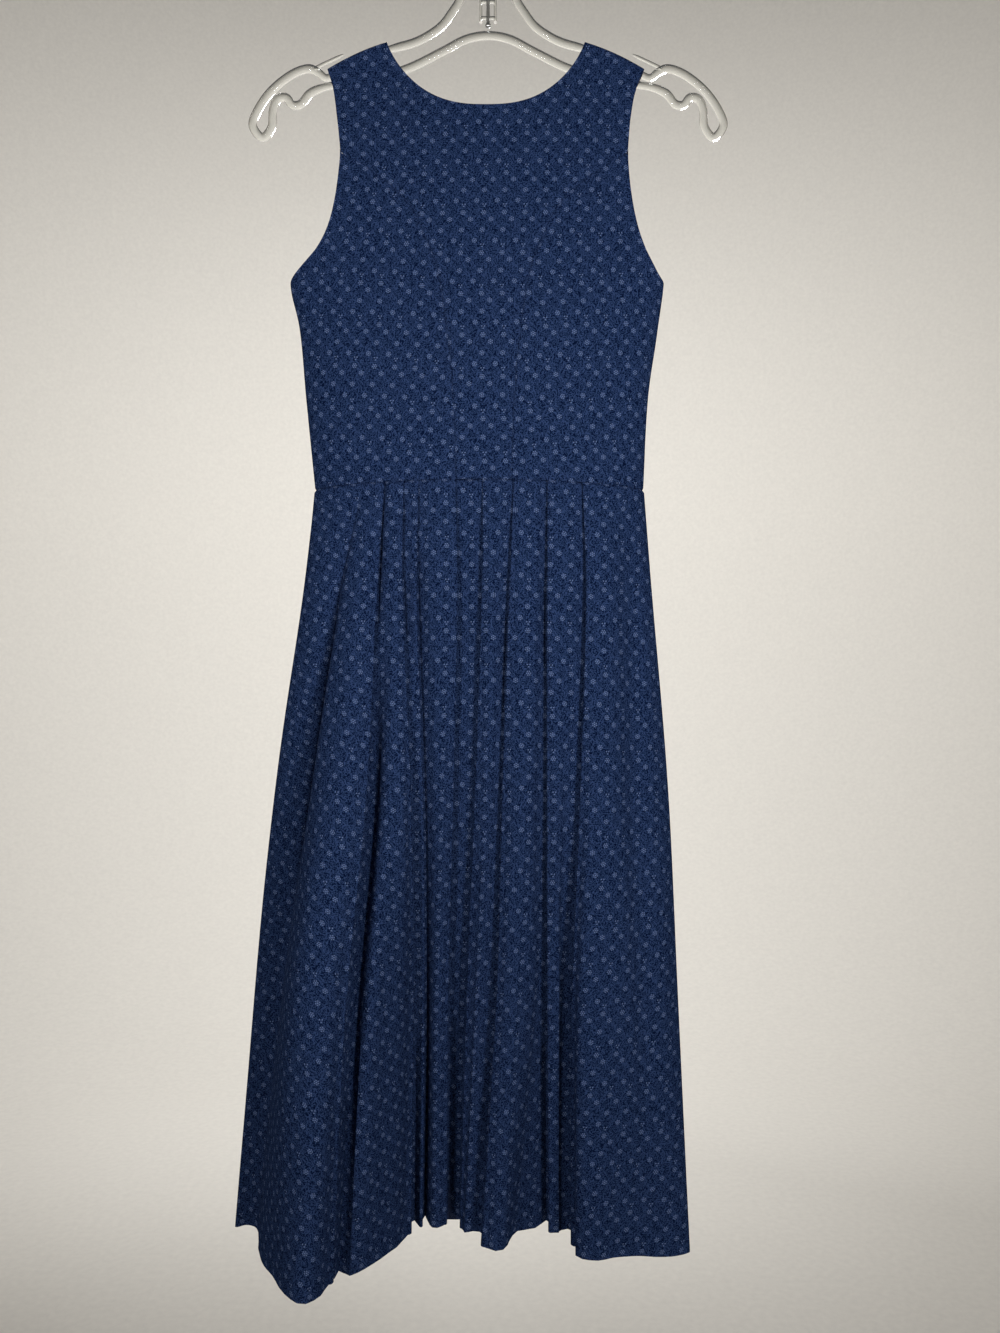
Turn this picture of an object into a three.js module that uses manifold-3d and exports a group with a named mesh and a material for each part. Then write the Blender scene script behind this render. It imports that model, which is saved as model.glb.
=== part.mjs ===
// A sleeveless pleated dirndl dress on a clear hanger with a metal hook.
// Millimetres. X runs to the wearer's right, Y to the front of the garment, Z up.
// The origin is the inside top of the hook, where a rail or peg carries the hanger.
import * as THREE from "three";
import { mergeVertices } from "three/addons/utils/BufferGeometryUtils.js";
import Module from "manifold-3d";

const wasm = await Module();
wasm.setup();

// Cloth and seams
const CLOTH = 1.2;
const SEAM = 0.3;

// Heights below the hook
const SHOULDER_Z = -127;
const UNDERARM_Z = -350;
const SEAM_TOP_Z = -228;
const WAIST_Z = -539;
const WAIST_ARCH = 4.5;
const SKIRT_LENGTH = 705;

// Shoulder line: it falls away from the neck along the hanger
const SHOULDER = { inner: 91, slope: 0.3, curve: 0.0028, wrap: 5 };

// Necklines: half width is the shoulder's inner end, drop is below it
const BACK_NECK = { drop: 59, power: 2.6, round: 0.8 };
const FRONT_NECK = { drop: 150, power: 3.4, round: 0.62 };

// Front closing: the right front laps over the left one
const LAP = { over: 9, under: 7, flatTo: 14, liftFrom: 28 };
const BUTTON = { count: 6, radius: 6.5, height: 2.4, dish: 0.7, first: -296, last: -520 };

// A short table with named columns becomes a list of rows
function table(columns, ...rows) {
  const names = columns.trim().split(/\s+/);
  return rows.map((row) => Object.fromEntries(names.map((name, i) => [name, row[i]])));
}

// Body sections of the hanging bodice: centre line, half width, and depth to back and front
const BODY = table(
  "z centre half back front",
  [-126, -2, 168, 5, 5],
  [-150, -2, 168, 6.5, 6.5],
  [-190, -3, 168, 11, 10],
  [-250, -4, 169, 18, 17],
  [-300, -7, 171, 24, 27],
  [-350, -10, 172, 29, 35],
  [-391, -8.5, 165, 33, 38],
  [-455, -10, 157.5, 36, 34],
  [-540, -8, 151, 38, 26],
);

// Armhole edges from the shoulder tip to the underarm
const ARMHOLE = table(
  "z left right",
  [-151.7, -147.5, 143.5],
  [-170, -142, 136],
  [-198, -138, 130.5],
  [-228, -135, 128],
  [-250, -136, 128.5],
  [-275, -139, 131],
  [-300, -145, 136],
  [-320, -155, 143],
  [-333, -167, 150],
  [-343, -177, 156],
  [-350, -182, 162],
);

// Princess seams, as half widths about the line between them
const BACK_SEAM = table(
  "z half",
  [-228, 131.5],
  [-249, 104],
  [-272, 77],
  [-293, 61.5],
  [-312, 54],
  [-341, 42.5],
  [-415, 31],
  [-465, 27],
  [-540, 24.5],
);
const FRONT_SEAM = table(
  "z half",
  [-228, 131.5],
  [-249, 113],
  [-275, 97],
  [-310, 85],
  [-350, 77],
  [-415, 66],
  [-540, 50],
);
const SEAM_CENTRE = -3.5;

// Below the armhole a princess seam swings into its own line over this height
const SEAM_SWING = 16;

// Levels where the walls have a row of points
const STRAP_DROPS = [0, 0.8, 2.4, 5.5, 14, 30, 52];
const SEAM_LEVELS = [-228, -240, -254, -270, -286, -304, -326, -352, -392, -440, -490, -539];

// Skirt folds from the left side seam to the right one.
// turn 1 is a pleat edge that faces right, -1 one that faces left, 0 a soft fold.
// Each station has the fold's place across and how far out of the body's middle it stands.
// lap is how far the cloth goes back under the edge, at the waist and at the hem.
// bend is the radius of the turns at the hem.
const FOLD_COLUMNS = `turn waistX hipX hipOut thighX thighOut kneeX kneeOut hemX hemOut
  lapTop lapHem bend`;
const BACK_FOLDS = table(
  FOLD_COLUMNS,
  [0, -155, -168, 8, -197, -4, -219, -22, -241, -38],
  [0, -135, -151, 21, -181, 9, -207, -12, -230, -35],
  [0, -114, -135, 22, -163, 13, -191, -9, -218, -24],
  [0, -109, -130, 29, -156, 42, -184, 22, -208, 12],
  [0, -104, -124, 35, -146, 64, -166, 82, -186, 56],
  [0, -98, -113, 39, -126, 74, -142, 93, -156, 91],
  [1, -92, -98, 38, -104, 70, -120, 82, -134, 62, 20, 3, 3],
  [0, -84, -86, 38, -88, 50, -104, 44, -120, 33],
  [1, -75, -75.5, 38, -67.5, 44, -68, 10, -72.5, -20, 6, 14, 3],
  [1, -61.5, -63, 37, -58, 29, -59, -6, -63, -34, 3, 4, 1.6],
  [0, -46, -46, 38, -47, 26, -50, -11, -53, -39],
  [1, -28.5, -27, 36, -31, 24, -37, -12, -40, -45, 16, 9, 2.2],
  [-1, -4, -5, 36, -11.5, 26, -19.5, -8, -27, -34, 12, 4, 1.8],
  [0, 10, 7, 38, 1, 28, -6, -5, -18, -27],
  [-1, 23.5, 19.5, 38, 13, 32, 8, 8, -6.5, -3, 16, 10, 3],
  [0, 40, 34, 39, 29, 34, 22, 9, 12, -3],
  [-1, 53.5, 53, 38, 53, 33, 54.5, 6, 57, -26, 16, 8, 2],
  [0, 70, 69, 37, 66, 29, 65, 0, 66, -31],
  [-1, 85, 87.5, 37, 82, 38, 76, 24, 77, -6, 20, 18, 4],
  [0, 98, 101, 36, 94, 40, 87, 31, 87, 8],
  [0, 112, 115, 31, 117, 33, 125, 26, 129, 6],
  [0, 124.5, 127.5, 21, 131, 21, 138, 18, 148, 4],
  [0, 133, 141, 15, 150, 15, 160, 11, 171, 3],
  [0, 139, 149.5, 6, 165, 1, 174.5, -3, 185.5, -2],
);
const FRONT_FOLDS = table(
  FOLD_COLUMNS,
  [0, -155, -168.5, 15, -196.5, 33, -218.5, 48, -241, 64],
  [0, -132, -148, 23, -172, 43, -190, 58, -208, 76],
  [0, -112, -125, 25, -144, 40, -158, 55, -172, 70],
  [1, -88, -92, 29, -98, 43, -108, 60, -118, 82, 18, 6, 3],
  [1, -60, -61, 31, -66, 43, -73, 59, -82, 78, 16, 7, 3],
  [1, -27, -28, 32, -32, 43, -38, 60, -46, 80, 16, 9, 3],
  [-1, 11, 11, 32, 10, 43, 8, 60, 2, 80, 16, 9, 3],
  [-1, 44, 45, 31, 45, 42, 46, 58, 46, 78, 16, 7, 3],
  [-1, 72, 76, 29, 80, 40, 86, 56, 92, 78, 18, 6, 3],
  [0, 98, 107, 24, 117, 33, 127, 46, 138, 58],
  [0, 118, 130, 20, 143, 30, 154, 39, 166, 46],
  [0, 139, 149.5, 11, 165, 21, 174.5, 26, 185.5, 26],
);
const SIDE_SEAMS = table(
  "side waistX hipX hipY thighX thighY kneeX kneeY hemX hemY",
  ["left", -159, -170, 5, -198, 20, -219.5, 35, -242, 50],
  ["right", 143, 151, 2, 166.5, 10, 176, 14, 187, 13],
);
const STATIONS = [0, 0.142, 0.403, 0.664, 1];
const SKIRT_ROWS = [0, 0.025, 0.07, 0.142, 0.26, 0.403, 0.53, 0.664, 0.78, 0.9, 1];
const PLEAT = { bendTop: 1.3, lead: 1.5, rise: 5, turnSteps: 3 };

// Hanger: half of the rail's middle line, from the crown round the end to the lower apex
const RAIL = { inPlane: 3.3, across: 2.8, sides: 8, steps: 116 };
const RAIL_LINE = table(
  "x z",
  [0, -58],
  [14, -61],
  [23, -72],
  [26, -87],
  [33, -98.5],
  [42, -110.5],
  [54, -119.5],
  [68, -126.5],
  [91, -133],
  [112, -140.4],
  [131, -149.6],
  [142, -156.6],
  [149.5, -159],
  [157, -153.5],
  [165, -150.5],
  [177, -154],
  [190, -162.5],
  [202, -174],
  [212, -189],
  [216.5, -203],
  [207.5, -214],
  [199, -204],
  [198, -190],
  [194, -179],
  [186, -177],
  [180, -184],
  [172, -183],
  [164, -173.5],
  [152, -168],
  [138, -165.5],
  [113, -161],
  [75.5, -151],
  [40.5, -134],
  [20, -123.5],
  [0, -120],
);
const KEEPER = { rootX: 160, tipX: 134, rootZ: -150.5, tipZ: -138, radius: 1.5 };
const BOSS = { x: 6.6, width: 2.6, depth: 5, top: -58, bottom: -108, bars: [-89, -104] };
const HOOK = { wire: 1.7, radius: 20, shankTop: -46, shankEnd: -111, ball: 2.6, bore: 2.1, boreReach: 8 };

const cloth = (name) => {
  const made = new THREE.MeshStandardMaterial({ color: 0x16275a, roughness: 0.9, metalness: 0 });
  made.name = name;
  return made;
};
const clearPlastic = new THREE.MeshStandardMaterial({ color: 0xe8ece8, roughness: 0.1 });
const steel = new THREE.MeshStandardMaterial({ color: 0xb4b8bc, roughness: 0.3, metalness: 1 });
const horn = new THREE.MeshStandardMaterial({ color: 0x1b2340, roughness: 0.35 });

const lerp = THREE.MathUtils.lerp;
const clamp = THREE.MathUtils.clamp;
const smooth = (x, from, to) => THREE.MathUtils.smoothstep(x, from, to);

// Smooth value of a column at z, from a table whose rows go downwards
function column(rows, z, name) {
  const last = rows.length - 2;
  const i = clamp(rows.findIndex((row) => row.z <= z) - 1, 0, last);
  const at = z < rows[last + 1].z ? last : i;
  const slope = (k) => {
    const above = rows[Math.max(k - 1, 0)];
    const below = rows[Math.min(k + 1, rows.length - 1)];
    return (below[name] - above[name]) / (below.z - above.z);
  };
  const span = rows[at + 1].z - rows[at].z;
  const f = clamp((z - rows[at].z) / span, 0, 1);
  return hermite(rows[at][name], rows[at + 1][name], slope(at) * span, slope(at + 1) * span, f);
}

function hermite(a, b, slopeA, slopeB, f) {
  const f2 = f * f;
  const f3 = f2 * f;
  return (
    a * (2 * f3 - 3 * f2 + 1) + slopeA * (f3 - 2 * f2 + f) + b * (3 * f2 - 2 * f3) + slopeB * (f3 - f2)
  );
}

const shoulderZ = (x) => {
  const away = Math.abs(x - column(BODY, SHOULDER_Z, "centre")) - SHOULDER.inner;
  return SHOULDER_Z - SHOULDER.slope * away - SHOULDER.curve * away * Math.abs(away);
};

// Square of the cloth's depth at a place on the garment: nothing at the side and shoulder seams
function depthSquared(x, z, side) {
  const depth = column(BODY, z, side);
  const across = (x - column(BODY, z, "centre")) / column(BODY, z, "half");
  const below = clamp(shoulderZ(x) - z, -SHOULDER.wrap, SHOULDER.wrap) / SHOULDER.wrap;
  const over = 1 - (1 - below) ** 2;
  return depth * depth * over * (1 - across * across);
}

const NUDGE = 0.05;

// A point of the bodice's middle surface with its outward normal
function bodicePoint(x, z, side, lift = 0) {
  const sign = side === "back" ? -1 : 1;
  const out = Math.sqrt(Math.max(depthSquared(x, z, side), 0));
  const slopeX = depthSquared(x + NUDGE, z, side) - depthSquared(x - NUDGE, z, side);
  const slopeZ = depthSquared(x, z + NUDGE, side) - depthSquared(x, z - NUDGE, side);
  const normal = new THREE.Vector3(-slopeX, sign * 4 * NUDGE * out, -slopeZ).normalize();
  const place = new THREE.Vector3(x, sign * (out + SEAM / 2 + lift), z);
  return { place, normal };
}

const angleOf = (x, z) => {
  const across = (x - column(BODY, z, "centre")) / column(BODY, z, "half");
  return Math.asin(clamp(across, -1, 1));
};
const acrossAt = (angle, z) =>
  column(BODY, z, "centre") + column(BODY, z, "half") * Math.sin(angle);

const waistZ = (x) => {
  const across = (x - column(BODY, WAIST_Z, "centre")) / column(BODY, WAIST_Z, "half");
  return WAIST_Z + WAIST_ARCH * (1 - clamp(across * across, 0, 1));
};

// A closed wall: the grid's points moved half the cloth out and half in, with a rim all round
function wall(grid) {
  const rows = grid.length;
  const columns = grid[0].length;
  const positions = [];
  const index = [];
  for (const half of [CLOTH / 2, -CLOTH / 2]) {
    for (const { place, normal } of grid.flat()) {
      positions.push(...place.clone().addScaledVector(normal, half).toArray());
    }
  }
  const outer = (j, i) => j * columns + i;
  const inner = (j, i) => rows * columns + outer(j, i);
  const quad = (a, b, c, d) => index.push(a, b, c, a, c, d);
  for (let j = 0; j < rows - 1; j++) {
    for (let i = 0; i < columns - 1; i++) {
      quad(outer(j, i), outer(j + 1, i), outer(j + 1, i + 1), outer(j, i + 1));
      quad(inner(j, i), inner(j, i + 1), inner(j + 1, i + 1), inner(j + 1, i));
    }
  }
  for (let i = 0; i < columns - 1; i++) {
    quad(outer(0, i), outer(0, i + 1), inner(0, i + 1), inner(0, i));
    quad(outer(rows - 1, i + 1), outer(rows - 1, i), inner(rows - 1, i), inner(rows - 1, i + 1));
  }
  for (let j = 0; j < rows - 1; j++) {
    quad(outer(j + 1, 0), outer(j, 0), inner(j, 0), inner(j + 1, 0));
    quad(outer(j, columns - 1), outer(j + 1, columns - 1), inner(j + 1, columns - 1), inner(j, columns - 1));
  }
  const geometry = new THREE.BufferGeometry();
  geometry.setAttribute("position", new THREE.Float32BufferAttribute(positions, 3));
  geometry.setIndex(facesOut(geometry, index));
  return geometry;
}

// Turns the faces over when the volume that they enclose comes out negative
function facesOut(geometry, index) {
  const p = geometry.getAttribute("position");
  const [a, b, c] = [new THREE.Vector3(), new THREE.Vector3(), new THREE.Vector3()];
  let volume = 0;
  for (let i = 0; i < index.length; i += 3) {
    a.fromBufferAttribute(p, index[i]);
    b.fromBufferAttribute(p, index[i + 1]);
    c.fromBufferAttribute(p, index[i + 2]);
    volume += a.dot(b.cross(c));
  }
  return volume > 0 ? index : index.reverse();
}

// A cut panel: a patch between four edges, each a list of { x, z }, laid on the bodice's surface
function panel(edges, side, { straps = 0, lift = () => 0 } = {}) {
  const { left, right, top, bottom } = edges;
  const total = left.at(-1).z - left[0].z;
  const lastRow = left.length - 1;
  const lastColumn = top.length - 1;
  const asAngle = ({ x, z }) => new THREE.Vector2(angleOf(x, z), z);
  const [l, r, t, b] = [left, right, top, bottom].map((edge) => edge.map(asAngle));
  const flat = l.map((_, j) => {
    const v = (left[j].z - left[0].z) / total;
    return t.map((_, i) => {
      const u = i / lastColumn;
      const point = new THREE.Vector2();
      point.addScaledVector(l[j], 1 - u).addScaledVector(r[j], u);
      point.addScaledVector(t[i], 1 - v).addScaledVector(b[i], v);
      point.addScaledVector(t[0], -(1 - u) * (1 - v)).addScaledVector(t[lastColumn], -u * (1 - v));
      point.addScaledVector(b[0], -(1 - u) * v).addScaledVector(b[lastColumn], -u * v);
      return new THREE.Vector2(acrossAt(point.x, point.y), point.y);
    });
  });
  evenOut(flat, straps);
  const grid = flat.map((row, j) =>
    row.map(({ x, y: z }) => {
      const level = j === lastRow ? waistZ(x) + SEAM / 2 : z;
      return bodicePoint(x, level, side, lift(x, z));
    }),
  );
  return wall(grid);
}

const EVEN = { rounds: 160, heldRows: 5 };

// Moves a patch's inner points until its lines run evenly between the edges and nowhere cross.
// On the straps the first rows stay close together, where the cloth turns over the shoulder.
function evenOut(flat, straps) {
  const lastColumn = flat[0].length - 1;
  const held = STRAP_STEPS + 1;
  const onStrap = (i) => (straps > 0 && i <= held) || (straps > 1 && i >= lastColumn - held);
  for (let round = 0; round < EVEN.rounds; round++) {
    for (let j = 1; j < flat.length - 1; j++) {
      for (let i = 1; i < lastColumn; i++) {
        if (j < EVEN.heldRows && onStrap(i)) continue;
        const [above, here, below] = [flat[j - 1], flat[j], flat[j + 1]];
        const across = here[i + 1].clone().sub(here[i - 1]).multiplyScalar(0.5);
        const down = below[i].clone().sub(above[i]).multiplyScalar(0.5);
        const twist = below[i + 1].clone().sub(below[i - 1]).sub(above[i + 1]).add(above[i - 1]);
        const [a, b, c] = [down.lengthSq(), across.lengthSq(), across.dot(down)];
        const sum = here[i + 1].clone().add(here[i - 1]).multiplyScalar(a);
        sum.addScaledVector(above[i], b).addScaledVector(below[i], b).addScaledVector(twist, -c / 2);
        here[i].copy(sum.multiplyScalar(1 / (2 * (a + b))));
      }
    }
  }
}

const armholeX = (z, hand) => column(ARMHOLE, z, hand);
const seamX = (rows, z, sign) => {
  const hand = sign < 0 ? "left" : "right";
  const blend = smooth(z, SEAM_TOP_Z - SEAM_SWING, SEAM_TOP_Z);
  const free = SEAM_CENTRE + sign * column(rows, z, "half");
  return lerp(free, armholeX(SEAM_TOP_Z, hand), blend);
};

// The armhole above the princess seam and then the seam itself, from the shoulder to the waist
function longEdge(rows, sign) {
  const hand = sign < 0 ? "left" : "right";
  const tipZ = shoulderZ(armholeX(ARMHOLE[0].z, hand));
  const strap = STRAP_DROPS.map((drop) => ({ x: armholeX(tipZ - drop, hand), z: tipZ - drop }));
  const seam = SEAM_LEVELS.map((z) => ({ x: seamX(rows, z, sign) - (sign * SEAM) / 2, z }));
  return [...strap, ...seam];
}

const neckZ = (x, neck) => {
  const away = Math.abs(x - column(BODY, SHOULDER_Z, "centre")) / SHOULDER.inner;
  return SHOULDER_Z - neck.drop * Math.max(1 - away ** neck.power, 0) ** neck.round;
};

// Strap top from its outer end to the neck, on one side
function strapTop(sign, steps) {
  const hand = sign < 0 ? "left" : "right";
  const outer = armholeX(ARMHOLE[0].z, hand);
  const inner = column(BODY, SHOULDER_Z, "centre") + sign * SHOULDER.inner;
  return Array.from({ length: steps + 1 }, (_, i) => {
    const x = lerp(outer, inner, i / steps);
    return { x, z: shoulderZ(x) };
  });
}

// Neckline from one place across to another, closer spaced where it climbs
function neckLine(neck, fromAngle, toX, steps) {
  const centre = column(BODY, SHOULDER_Z, "centre");
  const toAngle = Math.asin((toX - centre) / SHOULDER.inner);
  return Array.from({ length: steps }, (_, i) => {
    const angle = lerp(fromAngle, toAngle, (i + 1) / steps);
    const x = centre + SHOULDER.inner * Math.sin(angle);
    return { x, z: neckZ(x, neck) };
  });
}

function waistLine(fromX, toX, steps) {
  const [from, to] = [angleOf(fromX, WAIST_Z), angleOf(toX, WAIST_Z)];
  return Array.from({ length: steps + 1 }, (_, i) => ({
    x: acrossAt(lerp(from, to, i / steps), WAIST_Z),
    z: WAIST_Z,
  }));
}

const STRAP_STEPS = 3;
const NECK_STEPS = 8;
const FRONT_NECK_STEPS = 9;

function centreBack() {
  const left = longEdge(BACK_SEAM, -1);
  const right = longEdge(BACK_SEAM, 1);
  const centre = column(BODY, SHOULDER_Z, "centre");
  const halfNeck = neckLine(BACK_NECK, -Math.PI / 2, centre, NECK_STEPS);
  const otherHalf = neckLine(BACK_NECK, 0, centre + SHOULDER.inner, NECK_STEPS);
  const top = [...strapTop(-1, STRAP_STEPS), ...halfNeck, ...otherHalf.slice(0, -1)];
  top.push(...strapTop(1, STRAP_STEPS).reverse());
  const bottom = waistLine(left.at(-1).x, right.at(-1).x, top.length - 1);
  return panel({ left, right, top, bottom }, "back", { straps: 2 });
}

// The line down the middle of the closing
const closingMiddle = (z) => {
  const f = (z - SHOULDER_Z) / (WAIST_Z - SHOULDER_Z);
  return lerp(column(BODY, SHOULDER_Z, "centre"), column(BODY, WAIST_Z, "centre"), f);
};

// One half of the front: sign -1 is the wearer's left, which lies under the lap
function centreFront(sign) {
  const outerEdge = longEdge(FRONT_SEAM, sign);
  const reach = sign < 0 ? LAP.under : -LAP.over;
  const topX = closingMiddle(SHOULDER_Z) + reach;
  const topZ = neckZ(topX, FRONT_NECK);
  const heights = outerEdge.map(({ z }) => (z - outerEdge[0].z) / (WAIST_Z - outerEdge[0].z));
  const closing = heights.map((f) => {
    const z = lerp(topZ, WAIST_Z, f);
    return { x: f === 0 ? topX : closingMiddle(z) + reach, z };
  });
  const neck = neckLine(FRONT_NECK, (sign * Math.PI) / 2, topX, FRONT_NECK_STEPS);
  const top = [...strapTop(sign, STRAP_STEPS), ...neck];
  const bottom = waistLine(outerEdge.at(-1).x, closing.at(-1).x, top.length - 1);
  const raise = (x, z) => {
    const away = x - closingMiddle(z);
    return (CLOTH + SEAM) * (1 - smooth(away, LAP.flatTo, LAP.liftFrom));
  };
  const lift = sign < 0 ? undefined : raise;
  return panel({ left: outerEdge, right: closing, top, bottom }, "front", { straps: 1, lift });
}

// Points along the armhole's edge of a side piece, closer together near the underarm
const UNDERARM_EDGE = { steps: 7, crowding: 1.5 };

// A side piece between the princess seam and the side seam, under the armhole
function sidePanel(rows, sign, side) {
  const hand = sign < 0 ? "left" : "right";
  const edge = SEAM_LEVELS.map((z) => ({ x: seamX(rows, z, sign) + (sign * SEAM) / 2, z }));
  const seam = SEAM_LEVELS.map((z) => {
    const f = (z - SEAM_LEVELS[0]) / (WAIST_Z - SEAM_LEVELS[0]);
    const level = lerp(UNDERARM_Z, WAIST_Z, f);
    return { x: acrossAt((sign * Math.PI) / 2, level), z: level };
  });
  const { steps, crowding } = UNDERARM_EDGE;
  const top = Array.from({ length: steps + 1 }, (_, i) => {
    const z = lerp(UNDERARM_Z, SEAM_TOP_Z, (i / steps) ** crowding);
    return { x: armholeX(z, hand), z };
  });
  top[0] = { ...seam[0] };
  top[steps] = { ...edge[0] };
  const bottom = waistLine(seam.at(-1).x, edge.at(-1).x, steps);
  return panel({ left: seam, right: edge, top, bottom }, side);
}

// Smooth value through the five stations of the skirt
function atStation(values, t) {
  const i = clamp(STATIONS.findIndex((s) => s > t) - 1, 0, 3);
  const at = t >= 1 ? 3 : i;
  const slope = (k) => {
    const [low, high] = [Math.max(k - 1, 0), Math.min(k + 1, 4)];
    return (values[high] - values[low]) / (STATIONS[high] - STATIONS[low]);
  };
  const span = STATIONS[at + 1] - STATIONS[at];
  const f = (t - STATIONS[at]) / span;
  return hermite(values[at], values[at + 1], slope(at) * span, slope(at + 1) * span, f);
}

function foldAt(fold, t, side) {
  const waistOut = Math.sqrt(depthSquared(fold.waistX, WAIST_Z, side)) + SEAM / 2;
  return {
    turn: fold.turn,
    x: atStation([fold.waistX, fold.hipX, fold.thighX, fold.kneeX, fold.hemX], t),
    out: atStation([waistOut, fold.hipOut, fold.thighOut, fold.kneeOut, fold.hemOut], t),
    lap: lerp(fold.lapTop, fold.lapHem, t),
    bend: lerp(PLEAT.bendTop, fold.bend, t * t),
  };
}

// Half a turn of cloth: the points of a half circle, from one layer to the next one in
function turnPoints(x, out, radius, towards) {
  return Array.from({ length: PLEAT.turnSteps + 1 }, (_, i) => {
    const angle = (Math.PI * i) / PLEAT.turnSteps;
    return { x: x + towards * radius * Math.sin(angle), out: out - radius * (1 - Math.cos(angle)) };
  });
}

// How far out the face behind a pleat's edge stands at x, so that the layers under it follow it
function outAt(sections, i, turn, x) {
  let k = i;
  while (sections[k - turn] && turn * (sections[k - turn].x - x) > 0) k -= turn;
  const [near, far] = [sections[k], sections[k - turn] ?? sections[k]];
  const f = near === far ? 0 : clamp((x - near.x) / (far.x - near.x), 0, 1);
  return lerp(near.out, far.out, f);
}

// The cloth's line across the skirt at one level, from the left side seam to the right one
function clothLine(folds, t, side) {
  const sections = folds.map((fold) => foldAt(fold, t, side));
  const line = [];
  sections.forEach((fold, i) => {
    if (fold.turn === 0) {
      line.push({ x: fold.x, out: fold.out });
      return;
    }
    const { x, out, lap, bend, turn } = fold;
    const next = sections[i + turn];
    const dip = Math.max(out - outAt(sections, i, turn, x - turn * lap), 0);
    const edge = turnPoints(x - turn * bend, out, bend, turn);
    const under = turnPoints(x - turn * (lap - bend), out - 2 * bend - dip, bend, -turn);
    const root = { x: x + turn * PLEAT.lead, out: out - 4 * bend };
    const points = [...edge, ...under, root];
    if (next.turn !== -turn) {
      const away = PLEAT.lead + PLEAT.rise;
      const f = away / Math.abs(next.x - x);
      points.push({ x: x + turn * away, out: lerp(out, next.out, Math.min(f, 1)) });
    }
    line.push(...(turn > 0 ? points : points.reverse()));
  });
  return line;
}

function sideSeam(row, t) {
  return {
    x: atStation([row.waistX, row.hipX, row.thighX, row.kneeX, row.hemX], t),
    y: atStation([0, row.hipY, row.thighY, row.kneeY, row.hemY], t),
  };
}

// The skirt's middle surface as rows of points; the cloth keeps its length from waist to hem
function skirtGrid(folds, side) {
  const sign = side === "back" ? -1 : 1;
  const [leftSeam, rightSeam] = SIDE_SEAMS;
  let previous = null;
  return SKIRT_ROWS.map((t, j) => {
    const ends = [leftSeam, rightSeam].map((row) => sideSeam(row, t));
    const seamEnds = ends.map(({ x, y }) => ({ x, y: y + (sign * SEAM) / 2 }));
    const line = clothLine(folds, t, side).map(({ x, out }) => ({ x, y: sign * out }));
    const points = [seamEnds[0], ...line, seamEnds[1]];
    const row = points.map(({ x, y }, i) => {
      if (!previous) return new THREE.Vector3(x, y, waistZ(x) - SEAM / 2);
      const cloth = SKIRT_LENGTH * (t - SKIRT_ROWS[j - 1]);
      const across = Math.hypot(x - previous[i].x, y - previous[i].y);
      return new THREE.Vector3(x, y, previous[i].z - Math.sqrt(cloth * cloth - across * across));
    });
    previous = row;
    return row.map((place, i) => ({ place, normal: planNormal(row, i, sign) }));
  });
}

const MITRE = { longest: 1.25, sharpest: 0.5 };

// Normal in plan, longer at a corner so that the wall keeps its thickness, square to the side seams
function planNormal(row, i, sign) {
  const here = row[i];
  const [before, after] = [row[i - 1] ?? here, row[i + 1] ?? here];
  const sides = [
    [before, here],
    [here, after],
  ].map(([a, b]) => new THREE.Vector2(b.y - a.y, a.x - b.x).multiplyScalar(-sign).normalize());
  const sum = sides[0].clone().add(sides[1]).normalize();
  if (i === 0) return new THREE.Vector3(-1, 0, 0);
  if (i === row.length - 1) return new THREE.Vector3(1, 0, 0);
  sum.multiplyScalar(Math.min(1 / Math.max(sum.dot(sides[0]), MITRE.sharpest), MITRE.longest));
  return new THREE.Vector3(sum.x, sum.y, 0);
}

// Solids made of joined parts
function solidOf(geometry) {
  const bare = geometry.clone();
  bare.deleteAttribute("normal");
  bare.deleteAttribute("uv");
  const merged = mergeVertices(bare, 1e-4);
  return new wasm.Manifold(
    new wasm.Mesh({
      numProp: 3,
      vertProperties: merged.attributes.position.array,
      triVerts: new Uint32Array(merged.index.array),
    }),
  );
}

function geometryOf(solid) {
  const mesh = solid.getMesh();
  const geometry = new THREE.BufferGeometry();
  geometry.setAttribute("position", new THREE.Float32BufferAttribute(mesh.vertProperties, 3));
  geometry.setIndex(new THREE.BufferAttribute(mesh.triVerts, 1));
  return geometry;
}

// A closed oval rail in the XZ plane along a closed curve
function closedRail(curve) {
  const places = curve.getSpacedPoints(RAIL.steps).slice(0, -1);
  const count = places.length;
  const positions = [];
  const index = [];
  places.forEach((place, j) => {
    const ahead = places[(j + 1) % count];
    const behind = places[(j + count - 1) % count];
    const along = ahead.clone().sub(behind).normalize();
    const aside = new THREE.Vector3(-along.z, 0, along.x);
    for (let i = 0; i < RAIL.sides; i++) {
      const angle = (2 * Math.PI * i) / RAIL.sides;
      const point = place.clone().addScaledVector(aside, RAIL.inPlane * Math.cos(angle));
      positions.push(point.x, RAIL.across * Math.sin(angle), point.z);
      const [a, b] = [j * RAIL.sides + i, j * RAIL.sides + ((i + 1) % RAIL.sides)];
      const step = ((j + 1) % count) * RAIL.sides - j * RAIL.sides;
      index.push(a, b, b + step, a, b + step, a + step);
    }
  });
  const geometry = new THREE.BufferGeometry();
  geometry.setAttribute("position", new THREE.Float32BufferAttribute(positions, 3));
  geometry.setIndex(facesOut(geometry, index));
  return geometry;
}

function rod(radius, from, to, sides = 8) {
  const made = new THREE.CylinderGeometry(radius, radius, from.distanceTo(to), sides);
  const turn = new THREE.Quaternion();
  turn.setFromUnitVectors(new THREE.Vector3(0, 1, 0), to.clone().sub(from).normalize());
  made.applyQuaternion(turn);
  const middle = from.clone().add(to).multiplyScalar(0.5);
  return made.translate(middle.x, middle.y, middle.z);
}

function box(width, depth, height, x, y, z) {
  return new THREE.BoxGeometry(width, depth, height).translate(x, y, z);
}

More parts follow.
